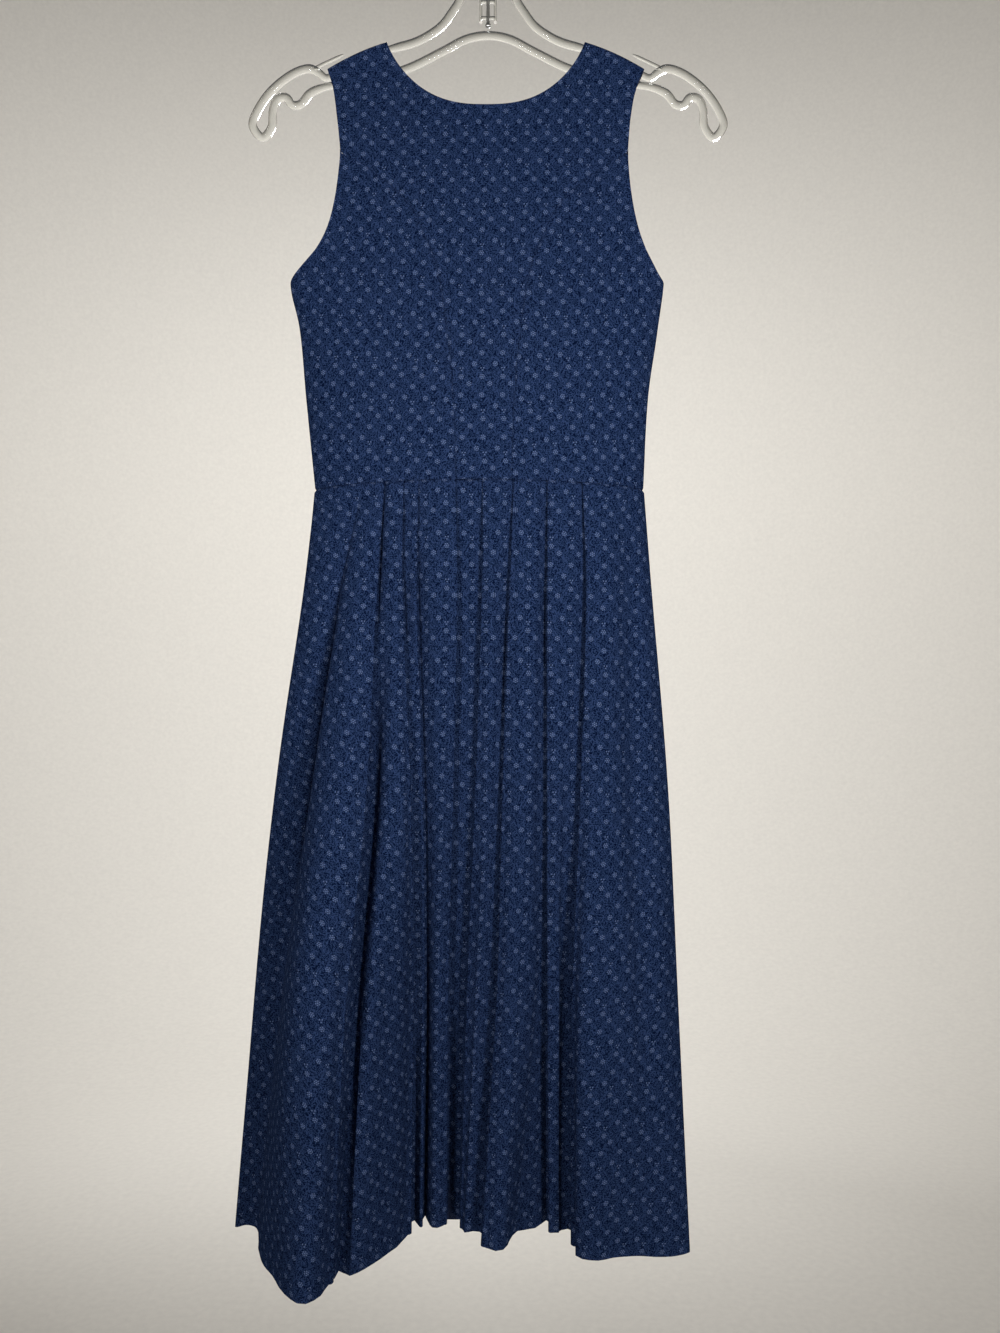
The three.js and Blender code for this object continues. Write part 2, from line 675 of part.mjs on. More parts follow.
function hangerFrame() {
  const half = RAIL_LINE.map(({ x, z }) => new THREE.Vector3(x, 0, z));
  const mirrored = half.slice(1, -1).reverse();
  const loop = [...half, ...mirrored.map(({ x, z }) => new THREE.Vector3(-x, 0, z))];
  const curve = new THREE.CatmullRomCurve3(loop, true, "centripetal");
  const parts = [closedRail(curve)];
  const tall = BOSS.top - BOSS.bottom;
  for (const side of [-1, 1]) {
    parts.push(box(BOSS.width, BOSS.depth, tall, side * BOSS.x, 0, BOSS.top - tall / 2));
    for (const z of BOSS.bars) {
      const width = BOSS.x - HOOK.bore;
      parts.push(box(width, BOSS.depth - 1, 3, side * (HOOK.bore + width / 2 + 0.2), 0, z));
    }
    const root = new THREE.Vector3(side * KEEPER.rootX, 0, KEEPER.rootZ);
    const tip = new THREE.Vector3(side * KEEPER.tipX, 0, KEEPER.tipZ);
    parts.push(rod(KEEPER.radius, root, tip));
  }
  const joined = parts.map(solidOf).reduce((whole, part) => whole.add(part));
  const boreTop = new THREE.Vector3(0, 0, BOSS.top + HOOK.boreReach);
  const boreEnd = new THREE.Vector3(0, 0, BOSS.top - HOOK.boreReach);
  return geometryOf(joined.subtract(solidOf(rod(HOOK.bore, boreTop, boreEnd, 16))));
}

function hangerHook() {
  const { radius, wire } = HOOK;
  const centreZ = -radius;
  const straight = [HOOK.shankEnd, -90, BOSS.top - 6, BOSS.top, HOOK.shankTop];
  const points = straight.map((z) => new THREE.Vector3(0, 0, z));
  points.push(new THREE.Vector3(3.5, 0, HOOK.shankTop + 5));
  for (const degrees of [-50, -25, 0, 30, 60, 90, 120, 150, 180, 200]) {
    const angle = THREE.MathUtils.degToRad(degrees);
    const reach = radius + wire;
    points.push(new THREE.Vector3(reach * Math.cos(angle), 0, centreZ + reach * Math.sin(angle)));
  }
  const section = new THREE.Shape();
  section.absarc(0, 0, wire, 0, 2 * Math.PI);
  const bent = new THREE.ExtrudeGeometry(section, {
    steps: 48,
    curveSegments: 4,
    extrudePath: new THREE.CatmullRomCurve3(points, false, "centripetal"),
  });
  const ball = new THREE.SphereGeometry(HOOK.ball, 10, 6).translate(0, 0, HOOK.shankEnd);
  return geometryOf(solidOf(bent).add(solidOf(ball)));
}

function buttonShape() {
  const { radius, height, dish } = BUTTON;
  const profile = [
    [0, 0],
    [radius - 0.8, 0],
    [radius, 0.8],
    [radius, height - 0.6],
    [radius - 0.9, height],
    [radius - 2, height - dish],
    [0, height - dish],
  ].map(([x, y]) => new THREE.Vector2(x, y));
  return new THREE.LatheGeometry(profile, 12);
}

const dress = new THREE.Group();

function add(name, geometry, material) {
  const mesh = new THREE.Mesh(geometry, material);
  mesh.name = name;
  dress.add(mesh);
  return mesh;
}

add("centre_back", centreBack(), cloth("bodice cloth"));
for (const [hand, sign] of [
  ["left", -1],
  ["right", 1],
]) {
  add(`side_back_${hand}`, sidePanel(BACK_SEAM, sign, "back"), cloth("bodice cloth"));
  add(`side_front_${hand}`, sidePanel(FRONT_SEAM, sign, "front"), cloth("bodice cloth"));
  add(`centre_front_${hand}`, centreFront(sign), cloth("bodice cloth"));
}
add("skirt_back", wall(skirtGrid(BACK_FOLDS, "back")), cloth("skirt cloth"));
add("skirt_front", wall(skirtGrid(FRONT_FOLDS, "front")), cloth("skirt cloth"));
for (let i = 0; i < BUTTON.count; i++) {
  const z = lerp(BUTTON.first, BUTTON.last, i / (BUTTON.count - 1));
  const x = closingMiddle(z);
  const { place, normal } = bodicePoint(x, z, "front", CLOTH + SEAM);
  const seat = place.addScaledVector(normal, CLOTH / 2 + SEAM);
  const button = add(`button_${i + 1}`, buttonShape(), horn);
  button.position.copy(seat);
  button.quaternion.setFromUnitVectors(new THREE.Vector3(0, 1, 0), normal);
}
add("hanger_frame", hangerFrame(), clearPlastic);
add("hanger_hook", hangerHook(), steel);

export default dress;
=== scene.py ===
"""A sleeveless calico dirndl on a clear hanger, seen from its back as it hangs."""

import logging
import math
from dataclasses import dataclass, field
from enum import Enum
from typing import Callable, Sequence

import bpy
import numpy as np
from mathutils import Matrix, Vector


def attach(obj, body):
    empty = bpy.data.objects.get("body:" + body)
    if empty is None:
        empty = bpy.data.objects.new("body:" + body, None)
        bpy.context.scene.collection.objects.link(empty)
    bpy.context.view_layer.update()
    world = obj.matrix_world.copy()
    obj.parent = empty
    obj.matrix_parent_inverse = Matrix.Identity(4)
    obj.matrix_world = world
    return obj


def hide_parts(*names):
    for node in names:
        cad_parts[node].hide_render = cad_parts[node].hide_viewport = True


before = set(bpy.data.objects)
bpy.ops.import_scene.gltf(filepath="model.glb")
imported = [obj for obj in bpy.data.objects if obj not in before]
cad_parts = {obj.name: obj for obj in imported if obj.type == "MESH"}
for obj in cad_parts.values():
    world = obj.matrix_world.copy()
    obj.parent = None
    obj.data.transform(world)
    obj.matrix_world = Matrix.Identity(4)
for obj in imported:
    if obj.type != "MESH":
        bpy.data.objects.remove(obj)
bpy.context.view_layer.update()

LOG = logging.getLogger("dirndl")
MM = 0.001
Array = np.ndarray
Piece = bpy.types.Object
Finish = bpy.types.Material
Socket = bpy.types.NodeSocket
Rgb = tuple[int, int, int]
Pair = tuple[float, float]
Triple = tuple[float, float, float]


class Side(Enum):
    """The half of the garment that a panel belongs to."""

    BACK = "back"
    FRONT = "front"

    @property
    def sign(self) -> float:
        """Direction of Y that points out of the garment on this side."""
        return -1.0 if self is Side.BACK else 1.0


class Hand(Enum):
    """The wearer's left or right."""

    LEFT = -1
    RIGHT = 1

    @property
    def word(self) -> str:
        """The hand as it stands in the pieces' names."""
        return self.name.lower()


def smoothstep(x: Array, low: float, high: float) -> Array:
    """Returns 0 below low, 1 above high and a smooth rise between them."""
    f = np.clip((np.asarray(x, float) - low) / (high - low), 0.0, 1.0)
    return f * f * (3.0 - 2.0 * f)


def lerp(a: Array, b: Array, f: Array) -> Array:
    """Returns the value between a and b at f."""
    return a + (b - a) * f


def hermite(a: Array, b: Array, slope_a: Array, slope_b: Array, f: Array) -> Array:
    """Returns the cubic between a and b with the given slopes, at f from 0 to 1."""
    f2, f3 = f * f, f * f * f
    rise = 3 * f2 - 2 * f3
    return a * (1 - rise) + slope_a * (f3 - 2 * f2 + f) + b * rise + slope_b * (f3 - f2)


def through(knots: Sequence[float], values: Array, at: Array) -> Array:
    """Smooth curve through values at rising knots.

    Args:
        knots: rising places.
        values: one row for each knot, with any further axes.
        at: places where the curve is wanted.

    Returns:
        The values at those places, one row each.
    """
    k = np.asarray(knots, float)
    v = np.asarray(values, float)
    at = np.asarray(at, float)
    last = len(k) - 1
    low = np.maximum(np.arange(last + 1) - 1, 0)
    high = np.minimum(np.arange(last + 1) + 1, last)
    slope = (v[high] - v[low]) / (k[high] - k[low]).reshape((-1,) + (1,) * (v.ndim - 1))
    i = np.clip(np.searchsorted(k, at, side="right") - 1, 0, last - 1)
    span = k[i + 1] - k[i]
    f = np.clip((at - k[i]) / span, 0.0, 1.0)
    shape = at.shape + (1,) * (v.ndim - 1)
    span, f = span.reshape(shape), f.reshape(shape)
    return hermite(v[i], v[i + 1], slope[i] * span, slope[i + 1] * span, f)


@dataclass(frozen=True)
class Profile:
    """Heights that go down, with a smooth value at each."""

    heights: tuple[float, ...]
    values: tuple[float, ...]

    def at(self, z: Array) -> Array:
        """Returns the value at height z."""
        return through([-h for h in self.heights], self.values, -np.asarray(z, float))


def profiles(*rows: tuple[float, ...]) -> list[Profile]:
    """Turns rows of a height and its values into one profile for each value."""
    columns = list(zip(*rows))
    return [Profile(columns[0], column) for column in columns[1:]]


CENTRE, HALF, BACK_DEPTH, FRONT_DEPTH = profiles(
    (-126, -2, 168, 5, 5),
    (-150, -2, 168, 6.5, 6.5),
    (-190, -3, 168, 11, 10),
    (-250, -4, 169, 18, 17),
    (-300, -7, 171, 24, 27),
    (-350, -10, 172, 29, 35),
    (-391, -8.5, 165, 33, 38),
    (-455, -10, 157.5, 36, 34),
    (-540, -8, 151, 38, 26),
)
ARMHOLE_LEFT, ARMHOLE_RIGHT = profiles(
    (-151.7, -147.5, 143.5),
    (-170, -142, 136),
    (-198, -138, 130.5),
    (-228, -135, 128),
    (-250, -136, 128.5),
    (-275, -139, 131),
    (-300, -145, 136),
    (-320, -155, 143),
    (-333, -167, 150),
    (-343, -177, 156),
    (-350, -182, 162),
)
(BACK_SEAM,) = profiles(
    (-228, 131.5),
    (-249, 104),
    (-272, 77),
    (-293, 61.5),
    (-312, 54),
    (-341, 42.5),
    (-415, 31),
    (-465, 27),
    (-540, 24.5),
)
(FRONT_SEAM,) = profiles(
    (-228, 131.5),
    (-249, 113),
    (-275, 97),
    (-310, 85),
    (-350, 77),
    (-415, 66),
    (-540, 50),
)
SEAM_CENTRE = -3.5
STRAP_END_Z = -151.7
SEAM_TOP_Z = -228.0
UNDERARM_Z = -350.0
WAIST_Z = -539.0
SEAM_GAP = 0.3
CLOTH_PLACE = 1.2


@dataclass(frozen=True)
class BodyForm:
    """The form that the bodice keeps while it hangs, in millimetres."""

    shoulder_z: float = -127.0
    inner: float = 91.0
    slope: float = 0.3
    curve: float = 0.0028
    wrap: float = 5.0
    waist_arch: float = 4.5
    nudge: float = 0.05
    girth_steps: int = 24

    @property
    def middle(self) -> float:
        """X of the neck's middle."""
        return float(CENTRE.at(self.shoulder_z))

    def depth(self, z: Array, side: Side) -> Array:
        """Returns the greatest depth of one side at height z."""
        return (BACK_DEPTH if side is Side.BACK else FRONT_DEPTH).at(z)

    def share(self, x: Array, z: Array) -> Array:
        """Returns how far across x lies, from -1 at the left side to 1 at the right."""
        return (x - CENTRE.at(z)) / HALF.at(z)

    def shoulder(self, x: Array) -> Array:
        """Returns the height of the shoulder line at x."""
        away = np.abs(x - self.middle) - self.inner
        return self.shoulder_z - self.slope * away - self.curve * away * np.abs(away)

    def depth_squared(self, x: Array, z: Array, side: Side) -> Array:
        """Returns the square of the cloth's depth, nothing at the side and shoulder seams."""
        below = np.clip(self.shoulder(x) - z, -self.wrap, self.wrap) / self.wrap
        return self.depth(z, side) ** 2 * (1 - (1 - below) ** 2) * (1 - self.share(x, z) ** 2)

    def surface(self, x: Array, z: Array, side: Side, lift: Array) -> tuple[Array, Array]:
        """Points of the cloth's middle surface.

        Args:
            x: places across.
            z: heights.
            side: back or front of the garment.
            lift: how far the cloth stands out from the form.

        Returns:
            The points and their outward normals.
        """
        out = np.sqrt(np.maximum(self.depth_squared(x, z, side), 0.0))
        step = self.nudge
        gx = self.depth_squared(x + step, z, side) - self.depth_squared(x - step, z, side)
        gz = self.depth_squared(x, z + step, side) - self.depth_squared(x, z - step, side)
        normal = np.stack([-gx, side.sign * 4 * step * out, -gz], -1)
        normal /= np.maximum(np.linalg.norm(normal, axis=-1, keepdims=True), 1e-12)
        place = np.stack([x, side.sign * (out + SEAM_GAP / 2 + lift), z], -1)
        return place, normal

    def angle(self, x: Array, z: Array) -> Array:
        """Returns the angle round the form, 0 at its middle."""
        return np.arcsin(np.clip(self.share(x, z), -1.0, 1.0))

    def across(self, angle: Array, z: Array) -> Array:
        """Returns X at an angle round the form."""
        return CENTRE.at(z) + HALF.at(z) * np.sin(angle)

    def girth(self, x: Array, z: Array, side: Side) -> Array:
        """Returns the length of cloth from the middle of the form to x."""
        end = self.angle(x, z)
        f = (np.arange(self.girth_steps) + 0.5) / self.girth_steps
        theta = end[..., None] * f
        wide, deep = HALF.at(z)[..., None], self.depth(z, side)[..., None]
        return np.hypot(wide * np.cos(theta), deep * np.sin(theta)).mean(-1) * end

    def waist(self, x: Array) -> Array:
        """Returns the height of the waist seam at x."""
        return WAIST_Z + self.waist_arch * (1 - np.clip(self.share(x, WAIST_Z) ** 2, 0.0, 1.0))


FORM = BodyForm()


@dataclass(frozen=True)
class Neckline:
    """A scooped neckline between the shoulders' inner ends."""

    drop: float
    power: float
    round: float

    def height(self, x: Array) -> Array:
        """Returns the neckline's height at x."""
        away = np.abs(x - FORM.middle) / FORM.inner
        return FORM.shoulder_z - self.drop * np.maximum(1 - away**self.power, 0.0) ** self.round


BACK_NECK = Neckline(drop=62, power=2.6, round=0.8)
FRONT_NECK = Neckline(drop=150, power=3.4, round=0.62)


@dataclass(frozen=True)
class Crease:
    """A soft trough or ridge pressed into the cloth, in millimetres."""

    start: Pair
    end: Pair
    width: float
    depth: float
    fade_in: Pair = (-0.12, 0.35)
    fade_out: Pair = (0.6, 1.08)

    def press(self, x: Array, z: Array) -> Array:
        """Returns how far this crease moves the cloth out at x, z."""
        ax, az = self.start
        bx, bz = self.end
        length = math.hypot(bx - ax, bz - az)
        ux, uz = (bx - ax) / length, (bz - az) / length
        along = (x - ax) * ux + (z - az) * uz
        beside = (x - ax) * uz - (z - az) * ux
        ends = smoothstep(along, *(f * length for f in self.fade_in))
        ends = ends * (1 - smoothstep(along, *(f * length for f in self.fade_out)))
        return self.depth * ends * np.exp(-((beside / self.width) ** 2))


BACK_CREASES = (
    Crease((-16, -186), (-15, -312), 3.0, -0.5),
    Crease((-12, -196), (-7, -262), 5.0, 0.3),
    Crease((-128, -236), (-86, -268), 6.0, -0.6),
    Crease((118, -232), (84, -262), 7.0, -0.5),
    Crease((-172, -362), (-96, -396), 9.0, -1.0),
    Crease((-168, -386), (-112, -446), 8.0, 0.8),
    Crease((156, -366), (92, -388), 8.0, -0.9),
    Crease((150, -398), (112, -470), 9.0, 0.7),
    Crease((-150, -500), (-70, -520), 6.0, -0.6),
    Crease((136, -496), (84, -524), 7.0, -0.6),
    Crease((-30, -430), (-22, -536), 6.0, 0.5),
    Crease((30, -448), (24, -536), 5.0, -0.4),
    Crease((-62, -330), (-40, -404), 6.0, -0.4),
)
FRONT_CREASES = (
    Crease((-132, -240), (-92, -300), 7.0, -0.6),
    Crease((126, -236), (90, -292), 8.0, -0.6),
    Crease((-170, -366), (-88, -352), 9.0, -1.1),
    Crease((-160, -400), (-86, -378), 8.0, 0.8),
    Crease((156, -370), (84, -350), 8.0, -1.0),
    Crease((148, -410), (90, -384), 9.0, 0.7),
    Crease((-120, -520), (-60, -486), 7.0, -0.7),
    Crease((118, -516), (58, -490), 6.0, -0.7),
    Crease((-66, -400), (-56, -500), 7.0, 0.5),
)


def nodes_along(count: int, tight: Sequence[float], both: bool = True) -> Array:
    """Places from 0 to 1, evenly spaced but for tight ones at the ends.

    Args:
        count: number of even steps.
        tight: extra places close to 0.
        both: whether the same places are added close to 1.

    Returns:
        The rising places.
    """
    even = np.linspace(0, 1, count + 1)
    inner = even[(even > max(tight) * 1.4) & (even < (1 - max(tight) * 1.4 if both else 1.0))]
    ends = [0.0, *tight]
    tail = [1 - f for f in reversed(ends)] if both else [1.0]
    return np.array([*ends, *inner, *tail])


def between(values: Array, at: Array) -> Array:
    """Returns the rows of values at fractional places from 0 to 1."""
    place = np.asarray(at) * (len(values) - 1)
    i = np.clip(place.astype(int), 0, len(values) - 2)
    f = (place - i).reshape((-1,) + (1,) * (values.ndim - 1))
    return values[i] * (1 - f) + values[i + 1] * f


@dataclass
class Patch:
    """A cut panel as a grid between four edges of (x, z) points."""

    left: Array
    right: Array
    top: Array
    bottom: Array
    rounds: int = 500

    def grid(self) -> Array:
        """Returns the patch's points, evened out so that its lines never cross."""
        l, r, t, b = (self._turned(e) for e in (self.left, self.right, self.top, self.bottom))
        v = ((self.left[:, 1] - self.left[0, 1]) / (self.left[-1, 1] - self.left[0, 1]))[:, None, None]
        u = np.linspace(0, 1, len(t))[None, :, None]
        flat = l[:, None] * (1 - u) + r[:, None] * u + t[None] * (1 - v) + b[None] * v
        flat -= (t[0] * (1 - u) + t[-1] * u) * (1 - v) + (b[0] * (1 - u) + b[-1] * u) * v
        g = np.stack([FORM.across(flat[..., 0], flat[..., 1]), flat[..., 1]], -1)
        for _ in range(self.rounds):
            across = (g[1:-1, 2:] - g[1:-1, :-2]) / 2
            down = (g[2:, 1:-1] - g[:-2, 1:-1]) / 2
            twist = g[2:, 2:] - g[2:, :-2] - g[:-2, 2:] + g[:-2, :-2]
            a = (down**2).sum(-1, keepdims=True)
            c = (across**2).sum(-1, keepdims=True)
            m = (across * down).sum(-1, keepdims=True)
            beside = a * (g[1:-1, 2:] + g[1:-1, :-2]) + c * (g[2:, 1:-1] + g[:-2, 1:-1])
            g[1:-1, 1:-1] = (beside - m * twist / 2) / (2 * (a + c))
        return g

    @staticmethod
    def _turned(edge: Array) -> Array:
        """Returns an edge with its X as an angle round the form."""
        return np.stack([FORM.angle(edge[:, 0], edge[:, 1]), edge[:, 1]], -1)


@dataclass(frozen=True)
class Grain:
    """How the print lies on a panel: a shift in millimetres and a turn in degrees."""

    across: float = 0.0
    down: float = 0.0
    turn: float = 0.0

    def lay(self, u: Array, v: Array) -> Array:
        """Returns the print's coordinates for cloth coordinates."""
        a = math.radians(self.turn)
        x = u * math.cos(a) - v * math.sin(a) + self.across
        y = u * math.sin(a) + v * math.cos(a) + self.down
        return np.stack([x, y], -1)


def mesh_piece(
    name: str, points: Array, faces: Sequence[Sequence[int]], finish: Finish, crisp: float = 40.0
) -> Piece:
    """Makes a smooth-shaded mesh object from points in millimetres.

    Args:
        name: the piece's name.
        points: vertices.
        faces: corner indices of each face.
        finish: its material.
        crisp: edges sharper than this angle in degrees stay crisp.

    Returns:
        The object, linked to the scene.
    """
    mesh = bpy.data.meshes.new(name)
    mesh.from_pydata((np.asarray(points) * MM).tolist(), [], faces)
    mesh.polygons.foreach_set("use_smooth", np.ones(len(mesh.polygons), bool))
    mesh.set_sharp_from_angle(angle=math.radians(crisp))
    mesh.materials.append(finish)
    mesh.update()
    made = bpy.data.objects.new(name, mesh)
    bpy.context.scene.collection.objects.link(made)
    return made


def stand_in(made: Piece, node: str | None = None) -> Piece:
    """Hides the CAD node that a piece stands for, if any, and sets what it rides on.

    Args:
        made: the piece.
        node: the CAD node that it stands for, if any.

    Returns:
        The same piece.
    """
    if node:
        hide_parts(node)
    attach(made, "root")
    LOG.info("%s: %d faces", made.name, len(made.data.polygons))
    return made


@dataclass
class ClothMesh:
    """A thin closed shell over a grid of middle points."""

    name: str
    place: Array
    normal: Array
    cloth: Array
    thickness: float = 0.8
    crisp: float = 62.0

    def build(self, outside: Finish, inside: Finish) -> Piece:
        """Builds the shell.

        Args:
            outside: the finish of the right side and the edges.
            inside: the finish of the wrong side.

        Returns:
            The finished object, with its cloth coordinates as a UV map.
        """
        rows, columns = self.place.shape[:2]
        half = self.thickness / 2
        points = np.concatenate([
            (self.place + self.normal * half).reshape(-1, 3),
            (self.place - self.normal * half).reshape(-1, 3),
        ])
        o = np.arange(rows * columns).reshape(rows, columns)
        n = o + rows * columns

        def quads(a: Array, b: Array, c: Array, d: Array) -> Array:
            """Returns faces from four equal arrays of corners."""
            return np.stack([a.ravel(), b.ravel(), c.ravel(), d.ravel()], -1)

        outer = quads(o[:-1, :-1], o[1:, :-1], o[1:, 1:], o[:-1, 1:])
        inner = quads(n[:-1, :-1], n[:-1, 1:], n[1:, 1:], n[1:, :-1])
        rim = np.concatenate([
            quads(o[0, :-1], o[0, 1:], n[0, 1:], n[0, :-1]),
            quads(o[-1, 1:], o[-1, :-1], n[-1, :-1], n[-1, 1:]),
            quads(o[1:, 0], o[:-1, 0], n[:-1, 0], n[1:, 0]),
            quads(o[:-1, -1], o[1:, -1], n[1:, -1], n[:-1, -1]),
        ])
        faces = np.concatenate([outer, inner, rim])
        a, b, c, d = (points[faces[:, k]] for k in range(4))
        volume = (np.cross(c - a, d - b) * (a + b + c + d)).sum()
        if volume < 0:
            faces = faces[:, ::-1]
        made = mesh_piece(self.name, points, faces.tolist(), outside, self.crisp)
        coords = np.concatenate([self.cloth.reshape(-1, 2)] * 2)
        layer = made.data.uv_layers.new(name="Cloth")
        layer.data.foreach_set("uv", coords[faces.ravel()].ravel().astype(np.float32))
        made.data.materials.append(inside)
        slots = np.zeros(len(faces), np.int32)
        slots[len(outer) : len(outer) + len(inner)] = 1
        made.data.polygons.foreach_set("material_index", slots)
        made.data.update()
        return made

    def area(self) -> float:
        """Returns the area of the middle surface in square metres."""
        p = self.place * MM
        a, b, c, d = p[:-1, :-1], p[1:, :-1], p[1:, 1:], p[:-1, 1:]
        return float(np.linalg.norm(np.cross(c - a, d - b), axis=-1).sum() / 2)


def srgb(red: int, green: int, blue: int) -> tuple[float, float, float, float]:
    """Returns a screen colour as linear light."""

    def linear(value: int) -> float:
        """Returns one channel as linear light."""
        v = value / 255
        return v / 12.92 if v <= 0.04045 else ((v + 0.055) / 1.055) ** 2.4

    return linear(red), linear(green), linear(blue), 1.0


class Graph:
    """A material's node tree with short calls for its sums."""

    def __init__(self, name: str) -> None:
        """Starts a material with one Principled shader."""
        self.material = bpy.data.materials.new(name)
        self.material.use_nodes = True
        self.nodes = self.material.node_tree.nodes
        self.links = self.material.node_tree.links
        self.shader = self.nodes["Principled BSDF"]

    def add(self, kind: str) -> bpy.types.Node:
        """Returns a new node."""
        return self.nodes.new(kind)

    def feed(self, socket: Socket, value: object) -> None:
        """Links or sets a value on a socket."""
        if isinstance(value, Socket):
            self.links.new(value, socket)
        else:
            socket.default_value = value

    def sum(self, operation: str, *values: object) -> Socket:
        """Returns the result of a math operation."""
        node = self.add("ShaderNodeMath")
        node.operation = operation
        for socket, value in zip(node.inputs, values):
            self.feed(socket, value)
        return node.outputs[0]

    def fade(self, value: object, low: float, high: float, start: float, end: float) -> Socket:
        """Returns a smooth change from start to end while value goes from low to high."""
        node = self.add("ShaderNodeMapRange")
        node.interpolation_type = "SMOOTHSTEP"
        for socket, item in zip(node.inputs[:5], (value, low, high, start, end)):
            self.feed(socket, item)
        return node.outputs[0]

    def mix(self, amount: object, under: object, over: object) -> Socket:
        """Returns a colour between two."""
        node = self.add("ShaderNodeMix")
        node.data_type = "RGBA"
        self.feed(node.inputs[0], amount)
        self.feed(node.inputs[6], under)
        self.feed(node.inputs[7], over)
        return node.outputs[2]

    def noise(self, vector: object, scale: float, detail: float) -> Socket:
        """Returns the value of a noise texture."""
        node = self.add("ShaderNodeTexNoise")
        for name, value in (("Vector", vector), ("Scale", scale), ("Detail", detail)):
            self.feed(node.inputs[name], value)
        return node.outputs[0]

    def grain(self, scale: float, detail: float) -> Socket:
        """Returns noise over the piece's own coordinates."""
        return self.noise(self.add("ShaderNodeTexCoord").outputs["Object"], scale, detail)

    def relief(self, height: object, strength: float, distance: float) -> Socket:
        """Returns normals raised by height."""
        node = self.add("ShaderNodeBump")
        for name, value in (("Strength", strength), ("Distance", distance), ("Height", height)):
            self.feed(node.inputs[name], value)
        return node.outputs[0]

    def set(self, **values: object) -> None:
        """Sets the shader's own sockets by their names, with spaces as underlines."""
        for name, value in values.items():
            self.feed(self.shader.inputs[name.replace("_", " ")], value)


@dataclass(frozen=True)
class Blossom:
    """A ring of light dots in the print's repeat, in millimetres."""

    across: float
    down: float
    dots: int
    ring: float
    dot: float
    turn: float = 0.0
    heart: bool = True


@dataclass(frozen=True)
class Leaf:
    """A small curved leaf in the print's repeat, in millimetres and degrees."""

    across: float
    down: float
    long: float
    wide: float
    turn: float
    bend: float = 0.0


